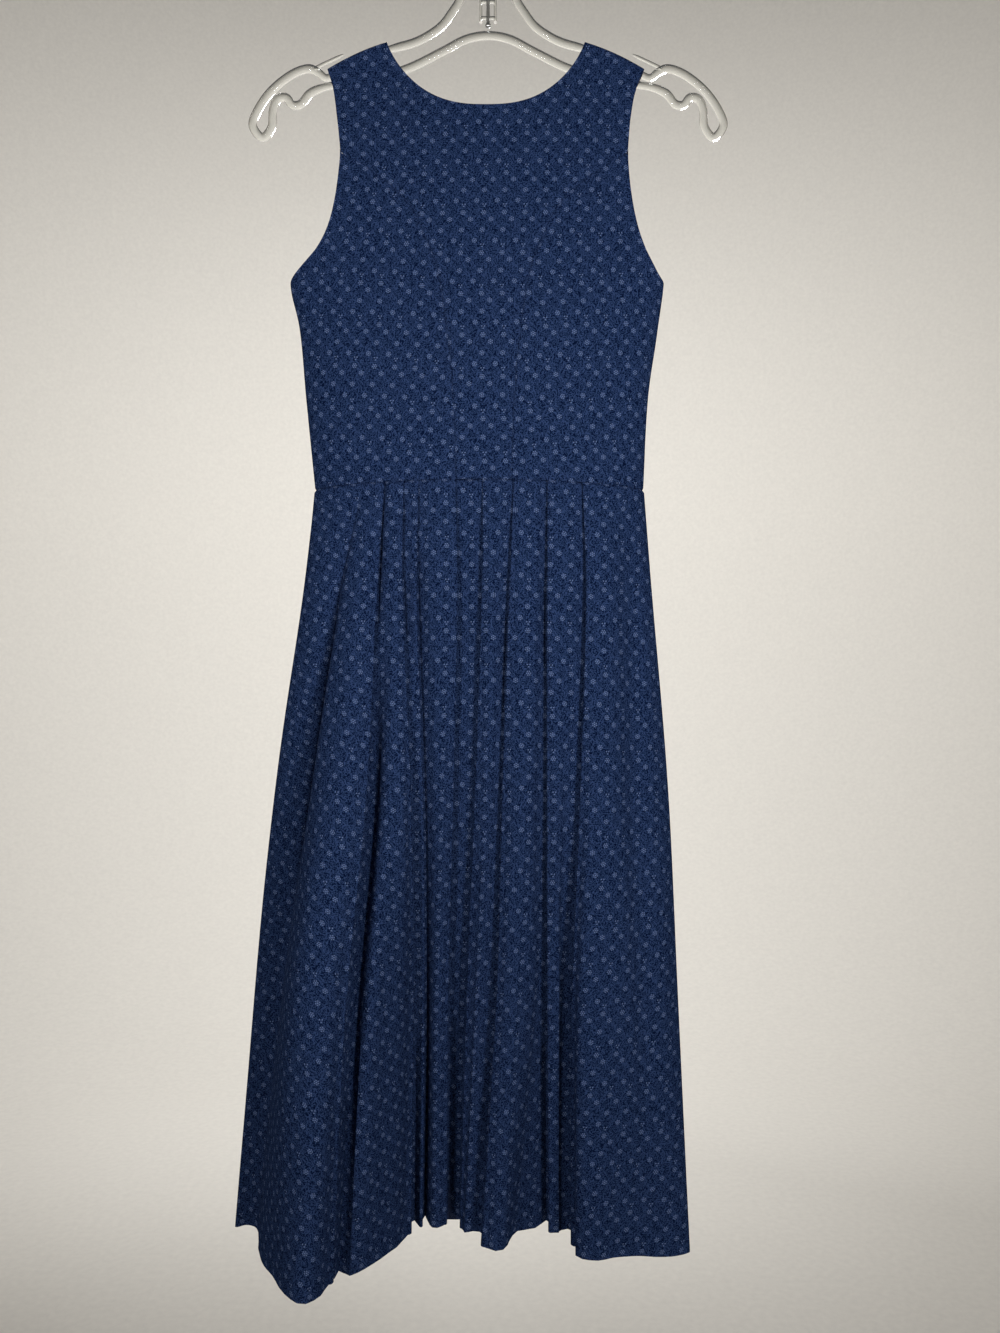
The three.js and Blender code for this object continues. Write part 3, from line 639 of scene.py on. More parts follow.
@dataclass(frozen=True)
class Calico:
    """The printed cotton: its repeat, its motifs and its colours, in millimetres.

    An edge is where a motif starts to fade and where it ends. A stem is its place, sway and phase.
    """

    name: str
    ground: Rgb = (5, 15, 39)
    shade: Rgb = (40, 56, 91)
    leaf: Rgb = (42, 58, 94)
    petal: Rgb = (54, 70, 106)
    dot: Rgb = (94, 110, 146)
    width: float = 18.5
    height: float = 37.7
    curl_scale: float = 0.5
    curl_count: float = 24.0
    disc: float = 0.3
    faded: float = 0.0
    pale: Rgb = (52, 62, 92)
    roughness: float = 0.86
    thread_pitch: float = 1.9
    curl_edge: Pair = (-0.45, 0.5)
    stem_edge: Pair = (0.22, 0.5)
    stem_strength: float = 0.75
    leaf_edge: Pair = (0.55, 1.25)
    leaf_strength: float = 0.85
    dot_edge: Pair = (0.65, 1.2)
    heart_edge: Pair = (0.35, 0.8)
    dot_strength: float = 0.9
    disc_edge: Pair = (0.3, 1.0)
    stems: tuple[Triple, ...] = ((3.6, 2.6, 0.4), (12.4, 2.2, 2.6))
    blossoms: tuple[Blossom, ...] = (
        Blossom(0.0, 0.0, 6, 1.75, 0.52, 0.1),
        Blossom(6.9, 6.3, 6, 1.75, 0.52, 0.5),
        Blossom(-0.6, 16.4, 6, 1.75, 0.52, 0.3),
        Blossom(11.6, 26.3, 6, 1.75, 0.52, 0.8),
        Blossom(0.2, 30.6, 3, 1.35, 0.6, 0.25, False),
    )
    leaves: tuple[Leaf, ...] = (
        Leaf(3.6, 2.6, 2.1, 0.62, 35, 0.12),
        Leaf(-4.4, 4.2, 2.3, 0.6, -55, -0.1),
        Leaf(10.2, 10.6, 2.4, 0.66, 70, 0.12),
        Leaf(4.2, 12.2, 2.2, 0.6, 20, -0.12),
        Leaf(-5.2, 12.6, 2.0, 0.6, 140, 0.1),
        Leaf(3.4, 20.2, 2.4, 0.64, -35, 0.12),
        Leaf(8.4, 21.4, 2.2, 0.6, 80, -0.1),
        Leaf(-4.8, 22.6, 2.2, 0.62, 30, 0.12),
        Leaf(5.0, 28.6, 2.1, 0.6, 110, 0.1),
        Leaf(-3.4, 34.2, 2.2, 0.6, -20, 0.12),
        Leaf(5.6, 34.6, 2.3, 0.64, 45, -0.12),
    )

    def build(self) -> Finish:
        """Returns the printed cloth's material."""
        g = Graph(self.name)
        coords = g.add("ShaderNodeUVMap")
        coords.uv_map = "Cloth"
        split = g.add("ShaderNodeSeparateXYZ")
        g.links.new(coords.outputs[0], split.inputs[0])
        u, v = split.outputs[0], split.outputs[1]
        colour = g.mix(self._tone(g, u, v), srgb(*self.ground), srgb(*self.shade))
        green = srgb(*self.leaf)
        for stem in self.stems:
            colour = g.mix(self._stem(g, u, v, *stem), colour, green)
        for leaf in self.leaves:
            colour = g.mix(self._leaf(g, u, v, leaf), colour, green)
        for blossom in self.blossoms:
            disc, dots = self._blossom(g, u, v, blossom)
            colour = g.mix(disc, colour, srgb(*self.petal))
            colour = g.mix(dots, colour, srgb(*self.dot))
        if self.faded:
            colour = g.mix(self.faded, colour, srgb(*self.pale))
        thread = g.noise(coords.outputs[0], self.thread_pitch, 2.0)
        g.set(Base_Color=colour, Roughness=self.roughness, Normal=g.relief(thread, 0.22, 0.0004))
        g.set(Specular_IOR_Level=0.0, Sheen_Weight=0.04, Sheen_Roughness=0.6, Sheen_Tint=green)
        return g.material

    @staticmethod
    def _offset(g: Graph, value: object, shift: float, period: float) -> Socket:
        """Returns a coordinate from a motif's middle, wrapped to the repeat."""
        return g.sum("WRAP", g.sum("SUBTRACT", value, shift), period / 2, -period / 2)

    def _tone(self, g: Graph, u: object, v: object) -> Socket:
        """Returns the tone-on-tone ground, whose fine curls fill it evenly."""
        join = g.add("ShaderNodeCombineXYZ")
        g.feed(join.inputs[0], u)
        g.feed(join.inputs[1], v)
        noise = g.noise(join.outputs[0], self.curl_scale, 1.0)
        curls = g.sum("SINE", g.sum("MULTIPLY", noise, self.curl_count))
        return g.fade(curls, *self.curl_edge, 0.0, 1.0)

    def _stem(self, g: Graph, u: object, v: object, at: float, sway: float, phase: float) -> Socket:
        """Returns a thin wavy stem that runs down the print."""
        wave = g.sum("SINE", g.sum("MULTIPLY_ADD", v, 4 * math.pi / self.height, phase))
        place = g.sum("MULTIPLY_ADD", wave, -sway, u)
        away = g.sum("ABSOLUTE", self._offset(g, place, at, self.width))
        return g.fade(away, *self.stem_edge, self.stem_strength, 0.0)

    def _leaf(self, g: Graph, u: object, v: object, leaf: Leaf) -> Socket:
        """Returns the mask of one leaf."""
        x = self._offset(g, u, leaf.across, self.width)
        y = self._offset(g, v, leaf.down, self.height)
        c, s = math.cos(math.radians(leaf.turn)), math.sin(math.radians(leaf.turn))
        along = g.sum("MULTIPLY_ADD", x, c, g.sum("MULTIPLY", y, s))
        beside = g.sum("MULTIPLY_ADD", y, c, g.sum("MULTIPLY", x, -s))
        bent = g.sum("MULTIPLY_ADD", g.sum("MULTIPLY", along, along), -leaf.bend, beside)
        long = g.sum("POWER", g.sum("MULTIPLY", along, 1 / leaf.long), 2.0)
        wide = g.sum("POWER", g.sum("MULTIPLY", bent, 1 / leaf.wide), 2.0)
        return g.fade(g.sum("ADD", long, wide), *self.leaf_edge, self.leaf_strength, 0.0)

    def _blossom(self, g: Graph, u: object, v: object, blossom: Blossom) -> tuple[Socket, Socket]:
        """Returns the masks of a blossom's ground and of its dots."""
        x = self._offset(g, u, blossom.across, self.width)
        y = self._offset(g, v, blossom.down, self.height)
        away = g.sum("SQRT", g.sum("MULTIPLY_ADD", x, x, g.sum("MULTIPLY", y, y)))
        turn = g.sum("MULTIPLY_ADD", g.sum("ARCTAN2", y, x), blossom.dots / (2 * math.pi), blossom.turn)
        beside = g.sum("WRAP", turn, 0.5, -0.5)
        arc = g.sum("MULTIPLY", beside, 2 * math.pi * blossom.ring / blossom.dots)
        out = g.sum("SUBTRACT", away, blossom.ring)
        gap = g.sum("SQRT", g.sum("MULTIPLY_ADD", out, out, g.sum("MULTIPLY", arc, arc)))
        dots = g.fade(gap, *(blossom.dot * edge for edge in self.dot_edge), self.dot_strength, 0.0)
        if blossom.heart:
            dots = g.sum("MAXIMUM", dots, g.fade(away, *self.heart_edge, self.dot_strength, 0.0))
        strength = self.disc if blossom.heart else 0.0
        disc = g.fade(away, *(blossom.ring + edge for edge in self.disc_edge), strength, 0.0)
        return disc, dots


@dataclass(frozen=True)
class PlainCloth:
    """A plain woven cotton, for linings and threads."""

    name: str
    colour: Rgb
    pitch: float = 900.0
    shade: float = 0.85

    def build(self) -> Finish:
        """Returns the plain cloth's material."""
        g = Graph(self.name)
        grain = g.grain(self.pitch, 3.0)
        low = srgb(*(int(c * self.shade) for c in self.colour))
        g.set(Base_Color=g.mix(grain, low, srgb(*self.colour)), Roughness=0.9)
        g.set(Normal=g.relief(grain, 0.25, 0.0003), Specular_IOR_Level=0.2, Sheen_Weight=0.03)
        return g.material


@dataclass(frozen=True)
class Polished:
    """A smooth hard finish: plated wire, resin or painted ground."""

    name: str
    colour: Rgb
    roughness: float
    metallic: float = 0.0
    speckle: float = 0.06
    shade: float = 0.93

    def build(self) -> Finish:
        """Returns the material, with a slight unevenness in its gloss."""
        g = Graph(self.name)
        worn = g.grain(60.0, 3.0)
        rough = g.fade(worn, 0.3, 0.7, self.roughness, self.roughness + self.speckle)
        low = srgb(*(int(c * self.shade) for c in self.colour))
        g.set(Base_Color=g.mix(worn, low, srgb(*self.colour)), Roughness=rough, Metallic=self.metallic)
        return g.material


@dataclass(frozen=True)
class ClearPlastic:
    """Moulded clear plastic with a faint haze."""

    name: str = "clear_plastic"
    colour: Rgb = (250, 251, 248)
    index: float = 1.2

    def build(self) -> Finish:
        """Returns the clear plastic's material."""
        g = Graph(self.name)
        haze = g.fade(g.grain(45.0, 2.0), 0.35, 0.75, 0.02, 0.06)
        g.set(Base_Color=srgb(*self.colour), Roughness=haze, IOR=self.index, Transmission_Weight=1.0)
        return g.material


@dataclass
class Finishes:
    """The finishes of all pieces, built once."""

    calico: Finish = field(default_factory=Calico("calico").build)
    reverse: Finish = field(default_factory=Calico("calico_reverse", faded=0.55).build)
    lining: Finish = field(default_factory=PlainCloth("navy_lining", (27, 37, 70)).build)
    thread: Finish = field(default_factory=PlainCloth("navy_thread", (30, 40, 76), 2500.0).build)
    resin: Finish = field(default_factory=Polished("blue_resin", (28, 36, 66), 0.22).build)
    steel: Finish = field(default_factory=Polished("plated_steel", (205, 207, 210), 0.16, 1.0).build)
    plastic: Finish = field(default_factory=ClearPlastic().build)


@dataclass
class Bodice:
    """The fitted top: seven panels joined by princess, side and shoulder seams."""

    finishes: Finishes
    strap_columns: int = 12
    neck_columns: int = 26
    seam_dip: float = 0.9
    seam_width: float = 2.6
    seam_join: float = 0.03
    lap_over: float = 9.0
    lap_under: float = 7.0
    lap_flat: float = 14.0
    lap_lift: float = 28.0
    columns: int = 46
    back_columns: int = 72
    rows: int = 92
    rows_at_top: tuple[float, ...] = (0.001, 0.0025, 0.0045, 0.007, 0.01, 0.014, 0.019, 0.025)
    rows_at_waist: tuple[float, ...] = (0.993, 0.996, 0.9985, 1.0)
    columns_at_seam: tuple[float, ...] = (0.004, 0.009, 0.015, 0.023)
    waist_rows_from: float = 0.9
    tip_height: float = 6.0
    firm: Pair = (3.0, 14.0)
    calm: float = 0.07
    levels: Array = field(default_factory=lambda: np.linspace(SEAM_TOP_Z, WAIST_Z, 58))

    def build(self) -> list[Piece]:
        """Builds the seven panels and says what each stands for."""
        made = [self.centre_back()]
        for hand in Hand:
            made.append(self.side_panel(hand, Side.BACK))
            made.append(self.side_panel(hand, Side.FRONT))
            made.append(self.centre_front(hand))
        return made

    @staticmethod
    def armhole(z: Array, hand: Hand) -> Array:
        """Returns X of the armhole's edge at a height."""
        return (ARMHOLE_LEFT if hand is Hand.LEFT else ARMHOLE_RIGHT).at(z)

    def seam(self, profile: Profile, z: Array, hand: Hand) -> Array:
        """Returns X of a princess seam at a height."""
        free = SEAM_CENTRE + hand.value * profile.at(z)
        blend = smoothstep(z, SEAM_TOP_Z - 16, SEAM_TOP_Z)
        return lerp(free, self.armhole(SEAM_TOP_Z, hand), blend)

    def long_edge(self, profile: Profile, hand: Hand) -> Array:
        """Returns the armhole's edge and the seam under it, from shoulder to waist."""
        tip = float(FORM.shoulder(self.armhole(STRAP_END_Z, hand)))
        strap = np.linspace(tip, SEAM_TOP_Z, 17)[:-1]
        upper = np.stack([self.armhole(strap, hand), strap], -1)
        along = self.seam(profile, self.levels, hand) - hand.value * self.seam_join / 2
        return np.concatenate([upper, np.stack([along, self.levels], -1)])

    def strap_top(self, hand: Hand) -> Array:
        """Returns the shoulder line from its outer end to the neck."""
        outer = float(self.armhole(STRAP_END_Z, hand))
        x = np.linspace(outer, FORM.middle + hand.value * FORM.inner, self.strap_columns + 1)
        return np.stack([x, FORM.shoulder(x)], -1)

    def neck(self, neckline: Neckline, start: float, to_x: float) -> Array:
        """Returns the neckline from an angle at the shoulder to a place across."""
        end = math.asin((to_x - FORM.middle) / FORM.inner)
        angle = np.linspace(start, end, self.neck_columns + 1)[1:]
        x = FORM.middle + FORM.inner * np.sin(angle)
        return np.stack([x, neckline.height(x)], -1)

    @staticmethod
    def waist_edge(from_x: float, to_x: float, count: int) -> Array:
        """Returns the bottom edge between two places across."""
        ends = FORM.angle(np.array([from_x, to_x]), np.full(2, WAIST_Z))
        x = FORM.across(np.linspace(*ends, count), np.full(count, WAIST_Z))
        return np.stack([x, np.full(count, WAIST_Z)], -1)

    def centre_back(self) -> Piece:
        """Builds the back's middle panel."""
        left = self.long_edge(BACK_SEAM, Hand.LEFT)
        right = self.long_edge(BACK_SEAM, Hand.RIGHT)
        half = self.neck(BACK_NECK, -math.pi / 2, FORM.middle)
        other = self.neck(BACK_NECK, 0.0, FORM.middle + FORM.inner)[:-1]
        top = np.concatenate([self.strap_top(Hand.LEFT), half, other, self.strap_top(Hand.RIGHT)[::-1]])
        bottom = self.waist_edge(left[-1, 0], right[-1, 0], len(top))
        patch = Patch(left, right, top, bottom)
        return self.panel("centre_back", patch, Side.BACK, Grain(1.2, 9.0, 0.8), (True, True))

    @staticmethod
    def closing(z: Array) -> Array:
        """Returns X of the line down the middle of the closing."""
        f = (z - FORM.shoulder_z) / (WAIST_Z - FORM.shoulder_z)
        return lerp(FORM.middle, float(CENTRE.at(WAIST_Z)), f)

    def centre_front(self, hand: Hand) -> Piece:
        """Builds one half of the front; the wearer's right one lies on top."""
        outer = self.long_edge(FRONT_SEAM, hand)
        reach = self.lap_under if hand is Hand.LEFT else -self.lap_over
        top_x = float(self.closing(FORM.shoulder_z)) + reach
        top_z = float(FRONT_NECK.height(top_x))
        f = (outer[:, 1] - outer[0, 1]) / (WAIST_Z - outer[0, 1])
        z = lerp(top_z, WAIST_Z, f)
        x = self.closing(z) + reach
        x[0] = top_x
        edge = np.stack([x, z], -1)
        neck = self.neck(FRONT_NECK, hand.value * math.pi / 2, top_x)
        top = np.concatenate([self.strap_top(hand), neck])
        bottom = self.waist_edge(outer[-1, 0], edge[-1, 0], len(top))

        def lift(px: Array, pz: Array) -> Array:
            """Returns how far the upper half stands off the one under it."""
            away = px - self.closing(pz)
            raised = (CLOTH_PLACE + SEAM_GAP) * (1 - smoothstep(away, self.lap_flat, self.lap_lift))
            return raised if hand is Hand.RIGHT else np.zeros_like(px)

        grain = Grain(4.0 * hand.value, 3.0, -1.5 * hand.value)
        patch = Patch(outer, edge, top, bottom)
        name = f"centre_front_{hand.word}"
        return self.panel(name, patch, Side.FRONT, grain, (True, False), lift)

    def side_panel(self, hand: Hand, side: Side) -> Piece:
        """Builds the piece under an armhole, between princess seam and side seam."""
        profile = BACK_SEAM if side is Side.BACK else FRONT_SEAM
        along = self.seam(profile, self.levels, hand) + hand.value * self.seam_join / 2
        edge = np.stack([along, self.levels], -1)
        f = (self.levels - SEAM_TOP_Z) / (WAIST_Z - SEAM_TOP_Z)
        z = lerp(UNDERARM_Z, WAIST_Z, f)
        outer = np.stack([FORM.across(np.full_like(z, hand.value * math.pi / 2), z), z], -1)
        steps = np.linspace(0, 1, 25) ** 1.5
        z_top = lerp(UNDERARM_Z, SEAM_TOP_Z, steps)
        top = np.stack([self.armhole(z_top, hand), z_top], -1)
        top[0], top[-1] = outer[0], edge[0]
        bottom = self.waist_edge(outer[-1, 0], edge[-1, 0], len(top))
        turn = 4.5 if side is Side.BACK else -3.0
        grain = Grain(5.0 + 3.0 * hand.value, 14.0 if side is Side.BACK else 22.0, turn * hand.value)
        name = f"side_{side.value}_{hand.word}"
        return self.panel(name, Patch(outer, edge, top, bottom), side, grain, (True, True))

    def panel(
        self,
        name: str,
        patch: Patch,
        side: Side,
        grain: Grain,
        seams: tuple[bool, bool],
        lift: Callable[[Array, Array], Array] | None = None,
    ) -> Piece:
        """Lays a patch on the form as cloth.

        Args:
            name: the CAD node that the panel stands for.
            patch: its cut.
            side: back or front.
            grain: how the print lies on it.
            seams: whether its left and right edges are sewn.
            lift: extra distance out at x, z.

        Returns:
            The dressed panel.
        """
        us = nodes_along(self.back_columns if name == "centre_back" else self.columns, self.columns_at_seam)
        vs = nodes_along(self.rows, self.rows_at_top, both=False)
        vs = np.array([*vs[:-1], *self.rows_at_waist])
        flat = between(patch.grid(), vs)
        flat = between(flat.swapaxes(0, 1), us).swapaxes(0, 1)
        x, z = flat[..., 0].copy(), flat[..., 1].copy()
        down = smoothstep(vs, self.waist_rows_from, 1.0)[:, None]
        z = z + down * (FORM.waist(x) + SEAM_GAP / 2 - WAIST_Z)
        raised = lift(x, z) if lift else np.zeros_like(x)
        creases = BACK_CREASES if side is Side.BACK else FRONT_CREASES
        pressed = sum(crease.press(x, z) for crease in creases)
        for sewn, column in zip(seams, (0, -1)):
            if sewn:
                below = z < SEAM_TOP_Z + self.tip_height
                pressed = pressed - below * self.seam_valley(x - x[:, [column]])
        pressed = pressed - self.seam_valley(FORM.waist(x) - z)
        place, normal = FORM.surface(x, z, side, raised)
        firm = smoothstep(FORM.shoulder(x) - z, *self.firm)
        edge = np.minimum(us, 1 - us)[None, :]
        pressed = pressed * firm * np.where(pressed > 0, smoothstep(edge, 0, self.calm), 1.0)
        place = place + normal * pressed[..., None]
        cloth = grain.lay(FORM.girth(x, z, side), -z)
        shell = ClothMesh(name + "_cloth", place, normal, cloth)
        made = stand_in(shell.build(self.finishes.calico, self.finishes.lining), name)
        wide, long = self.cut_size(x, z, side)
        shell.area()
        LOG.info("%s: cut %.0f x %.0f mm, %.4f m2", name, wide / MM, long / MM, shell.area())
        return made

    def seam_valley(self, away: Array) -> Array:
        """Returns how far the cloth is drawn in at a distance from a seam."""
        return self.seam_dip * np.clip(1 - np.abs(away) / self.seam_width, 0, 1) ** 2

    @staticmethod
    def cut_size(x: Array, z: Array, side: Side) -> Pair:
        """Returns the width and length of the rectangle that a panel is cut from, in metres."""
        girth = FORM.girth(x, z, side)
        return float(np.ptp(girth)) * MM, float(np.ptp(z)) * MM


STATIONS = (0.0, 0.142, 0.403, 0.664, 1.0)


@dataclass(frozen=True)
class Fold:
    """A fold of the skirt, by its place across and out at five stations down it.

    turn is 1 for a pleat edge that faces right, -1 for one that faces left, 0 for a soft fold.
    """

    turn: int
    x: tuple[float, float, float, float, float]
    out: tuple[float, float, float, float]
    lap: Pair = (0.0, 0.0)
    bend: float = 0.0


def folds(*rows: tuple[float, ...]) -> tuple[Fold, ...]:
    """Reads rows of turn, waist x, then x and out of hip, thigh, knee and hem, lap and bend."""
    made = []
    for turn, waist, *rest in rows:
        lap, bend = (tuple(rest[8:10]), rest[10]) if turn else ((0, 0), 0)
        made.append(Fold(int(turn), (waist, *rest[0:8:2]), tuple(rest[1:8:2]), lap, bend))
    return tuple(made)


BACK_FOLDS = folds(
    (0, -155, -168, 8, -197, -4, -219, -22, -241, -38),
    (0, -135, -151, 21, -181, 9, -207, -12, -230, -35),
    (0, -114, -135, 22, -163, 13, -191, -9, -218, -24),
    (0, -111.5, -132.3, 21, -159.3, 2, -187.5, 2, -213, -7),
    (0, -109, -130, 29, -156, 42, -184, 22, -208, 12),
    (0, -104, -124, 35, -146, 64, -166, 82, -186, 56),
    (0, -98, -113, 39, -126, 74, -142, 93, -156, 91),
    (1, -92, -98, 38, -104, 70, -120, 82, -134, 62, 20, 3, 3),
    (0, -88, -91, 37, -97, 38, -112.5, 38, -127, 35),
    (0, -82, -84, 38, -87, 50, -102.5, 46, -118, 34),
    (1, -75, -75.5, 38, -67.5, 44, -68, 10, -72.5, -20, 6, 14, 3),
    (1, -61.5, -63, 37, -58, 29, -59, -6, -63, -34, 3, 4, 1.6),
    (0, -46, -46, 38, -47, 26, -50, -11, -53, -35),
    (1, -28.5, -27, 36, -31, 24, -37, -12, -40, -37, 16, 9, 2.2),
    (-1, -4, -5, 36, -11.5, 26, -19.5, -8, -27, -31, 12, 4, 1.8),
    (0, 10, 7, 38, 1, 28, -6, -5, -18, -27),
    (-1, 23.5, 19.5, 38, 13, 32, 8, 8, -6.5, -3, 16, 10, 3),
    (0, 40, 34, 39, 29, 34, 22, 9, 12, -3),
    (0, 46.5, 43, 38.5, 40.5, 31, 42, -2, 23, -27),
    (-1, 53.5, 53, 38, 53, 33, 54.5, 6, 57, -26, 16, 8, 2),
    (0, 70, 69, 37, 66, 29, 65, 0, 66, -31),
    (-1, 85, 87.5, 37, 82, 38, 76, 24, 77, -6, 20, 18, 4),
    (0, 98, 101, 36, 94, 40, 87, 31, 87, 8),
    (0, 112, 115, 31, 117, 33, 125, 26, 129, 6),
    (0, 124.5, 127.5, 21, 131, 21, 138, 18, 148, 4),
    (0, 133, 141, 15, 150, 15, 160, 11, 171, 3),
    (0, 139, 149.5, 6, 165, 1, 174.5, -3, 185.5, -2),
)
FRONT_FOLDS = folds(
    (0, -155, -168.5, 15, -196.5, 33, -218.5, 48, -241, 64),
    (0, -132, -148, 23, -172, 43, -190, 58, -208, 76),
    (0, -112, -125, 25, -144, 40, -158, 55, -172, 70),
    (1, -88, -92, 29, -98, 43, -108, 60, -118, 82, 18, 6, 3),
    (1, -60, -61, 31, -66, 43, -73, 59, -82, 78, 16, 7, 3),
    (1, -27, -28, 32, -32, 43, -38, 60, -46, 80, 16, 9, 3),
    (-1, 11, 11, 32, 10, 43, 8, 60, 2, 80, 16, 9, 3),
    (-1, 44, 45, 31, 45, 42, 46, 58, 46, 78, 16, 7, 3),
    (-1, 72, 76, 29, 80, 40, 86, 56, 92, 78, 18, 6, 3),
    (0, 98, 107, 24, 117, 33, 127, 46, 138, 58),
    (0, 118, 130, 20, 143, 30, 154, 39, 166, 46),
    (0, 139, 149.5, 11, 165, 21, 174.5, 26, 185.5, 26),
)
SIDE_SEAMS = {
    Hand.LEFT: ((-159, -170, -198, -219.5, -242), (0, 5, 20, 35, 50)),
    Hand.RIGHT: ((143, 151, 166.5, 176, 187), (0, 2, 10, 14, 13)),
}


@dataclass
class ClothLine:
    """The cloth's line across the skirt, for every row at once."""

    x: list[Array] = field(default_factory=list)
    y: list[Array] = field(default_factory=list)
    hard: list[bool] = field(default_factory=list)

    def put(self, x: Array, y: Array, hard: bool) -> None:
        """Adds a point; hard ones lie on a turn or a hidden layer."""
        self.x.append(x)
        self.y.append(y)
        self.hard.append(hard)


@dataclass
class Skirt:
    """The pleated skirt: a back and a front width of cloth, sewn at the sides.

    A wave is its height, length, phase, drift down the skirt and sway.
    """

    finishes: Finishes
    length: float = 705.0
    bend_top: float = 0.95
    bend_pressed: float = 0.52
    bend_opens: float = 0.05
    deepest_step: float = 20.0
    lead: float = 1.5
    rise: float = 7.5
    rise_growth: float = 0.5
    room_used: float = 0.7
    gully: float = 5.0
    gully_low: float = 1.4
    hips: Pair = (0.0, 0.2)
    lower: Pair = (0.4, 0.9)
    turn_steps: int = 6
    row_count: int = 84
    span_step: float = 4.2
    allowance: tuple[float, ...] = (-7.0, -3.0, -0.6)
    fine: tuple[float, ...] = (0.0, 0.9, 1.9, 3.0, 4.6)
    dip: float = 1.5
    dip_behind: float = 2.1
    dip_end: float = 3.0
    roll: float = 3.2
    roll_waist: float = 0.25
    roll_growth: float = 1.1
    roll_grows: Pair = (0.02, 0.6)
    waves: tuple[tuple[float, ...], ...] = (
        (0.55, 9.1, 1.3, 2.1, 0.0),
        (0.4, 5.3, -0.7, -3.3, 0.0),
        (0.35, 15.7, 2.9, 4.7, 0.8),
        (0.25, 3.7, 0.0, 5.1, 0.0),
    )
    wave_waist: float = 0.12
    wave_power: float = 1.4
    least_gap: float = 0.3
    mitre_least: float = 0.6
    mitre_most: float = 1.25
    ripple_edge: Pair = (1.0, 14.0)
    ridge_start: Pair = (0.5, 9.0)
    ridge_end: Pair = (14.0, 46.0)
    steepest: float = 0.4

    def __post_init__(self) -> None:
        """Sets the rows down the cloth, which start behind the bodice with the seam's allowance."""
        top = np.array([*self.allowance, *self.fine]) / self.length
        self.t = np.array([*top, *np.linspace(0, 1, self.row_count)[1:]])
        self.below = np.maximum(self.t, 0.0)

    def build(self) -> list[Piece]:
        """Builds the two widths of the skirt."""
        back = self.width("skirt_back", BACK_FOLDS, Side.BACK, Grain(7.0, 16.0))
        front = self.width("skirt_front", FRONT_FOLDS, Side.FRONT, Grain(2.0, 4.0))
        return [back, front]

    def sections(self, rows: Sequence[Fold], side: Side) -> list[dict[str, Array]]:
        """Returns each fold's place, lap and bend at all rows."""
        t = self.below
        made = []
        opened = lerp(self.bend_pressed, 1.0, smoothstep(t, 0.0, self.bend_opens))
        for fold in rows:
            at_waist = FORM.depth_squared(np.array(float(fold.x[0])), np.array(WAIST_Z), side)
            waist_out = float(np.sqrt(at_waist)) + SEAM_GAP / 2
            made.append({
                "x": through(STATIONS, fold.x, t),
                "out": through(STATIONS, (waist_out, *fold.out), t),
                "lap": lerp(*fold.lap, t),
                "bend": lerp(self.bend_top, fold.bend, t * t) * opened,
            })
        return made

    def turn_points(self, x: Array, out: Array, radius: Array, towards: int) -> list[tuple[Array, Array]]:
        """Returns the half circle of cloth from one layer to the next one in."""
        angles = np.linspace(0, math.pi, self.turn_steps + 1)
        return [(x + towards * radius * math.sin(a), out - radius * (1 - math.cos(a))) for a in angles]

    @staticmethod
    def out_behind(made: list[dict[str, Array]], i: int, turn: int, x: Array) -> Array:
        """Returns how far out the face behind a pleat's edge stands at x."""
        places = [made[i]]
        k = i - turn
        while 0 <= k < len(made) and len(places) < 5:
            places.append(made[k])
            k -= turn
        result = places[-1]["out"].copy()
        for near, far in reversed(list(zip(places[:-1], places[1:]))):
            span = far["x"] - near["x"]
            f = np.clip((x - near["x"]) / np.where(np.abs(span) < 1e-6, 1e-6, span), 0, 1)
            inside = turn * (far["x"] - x) <= 0
            result = np.where(inside, lerp(near["out"], far["out"], f), result)
        return result

    def line(self, rows: Sequence[Fold], side: Side) -> ClothLine:
        """Returns the whole line across, from the left side seam to the right one."""
        made = self.sections(rows, side)
        sign = side.sign
        line = ClothLine()
        for hand in Hand:
            if hand is Hand.RIGHT:
                self._fold_points(line, rows, made, sign)
            xs, ys = SIDE_SEAMS[hand]
            t = self.below
            line.put(through(STATIONS, xs, t), through(STATIONS, ys, t) + sign * SEAM_GAP / 2, False)
        return line

    def _fold_points(
        self, line: ClothLine, rows: Sequence[Fold], made: list[dict[str, Array]], sign: float
    ) -> None:
        """Adds the points of all folds to the line."""
        hips, lower = smoothstep(self.below, *self.hips), smoothstep(self.below, *self.lower)
        deepening = hips + self.gully_low * lower
        for i, (fold, s) in enumerate(zip(rows, made)):
            x, out, lap, bend, turn = s["x"], s["out"], s["lap"], s["bend"], fold.turn
            if not turn:
                line.put(x, sign * out, False)
                continue
            behind = self.out_behind(made, i, turn, x - turn * lap)
            dip = np.maximum(out - behind, 0)
            points = self.turn_points(x - turn * bend, out, bend, turn)
            points += self.turn_points(x - turn * (lap - bend), out - 2 * bend - dip, bend, -turn)
            beside = made[i + turn]["out"]
            low = out - 4 * bend - self.gully * deepening
            root = np.clip(beside, low - self.deepest_step, low)
            points.append((x + turn * self.lead, root))
            hard = [True] * len(points)
            if rows[i + turn].turn != -turn:
                room = np.abs(made[i + turn]["x"] - x)
                reach = self.lead + self.rise * (1 + self.rise_growth * self.below)
                away = np.minimum(reach, self.room_used * room)
                risen = 0.5 + 0.5 * away / room
                points.append((x + turn * away, lerp(root, beside, risen)))
                hard.append(False)
            hard[0] = False
            if turn < 0:
                points, hard = points[::-1], hard[::-1]
            for (px, pout), h in zip(points, hard):
                line.put(px, sign * pout, h)

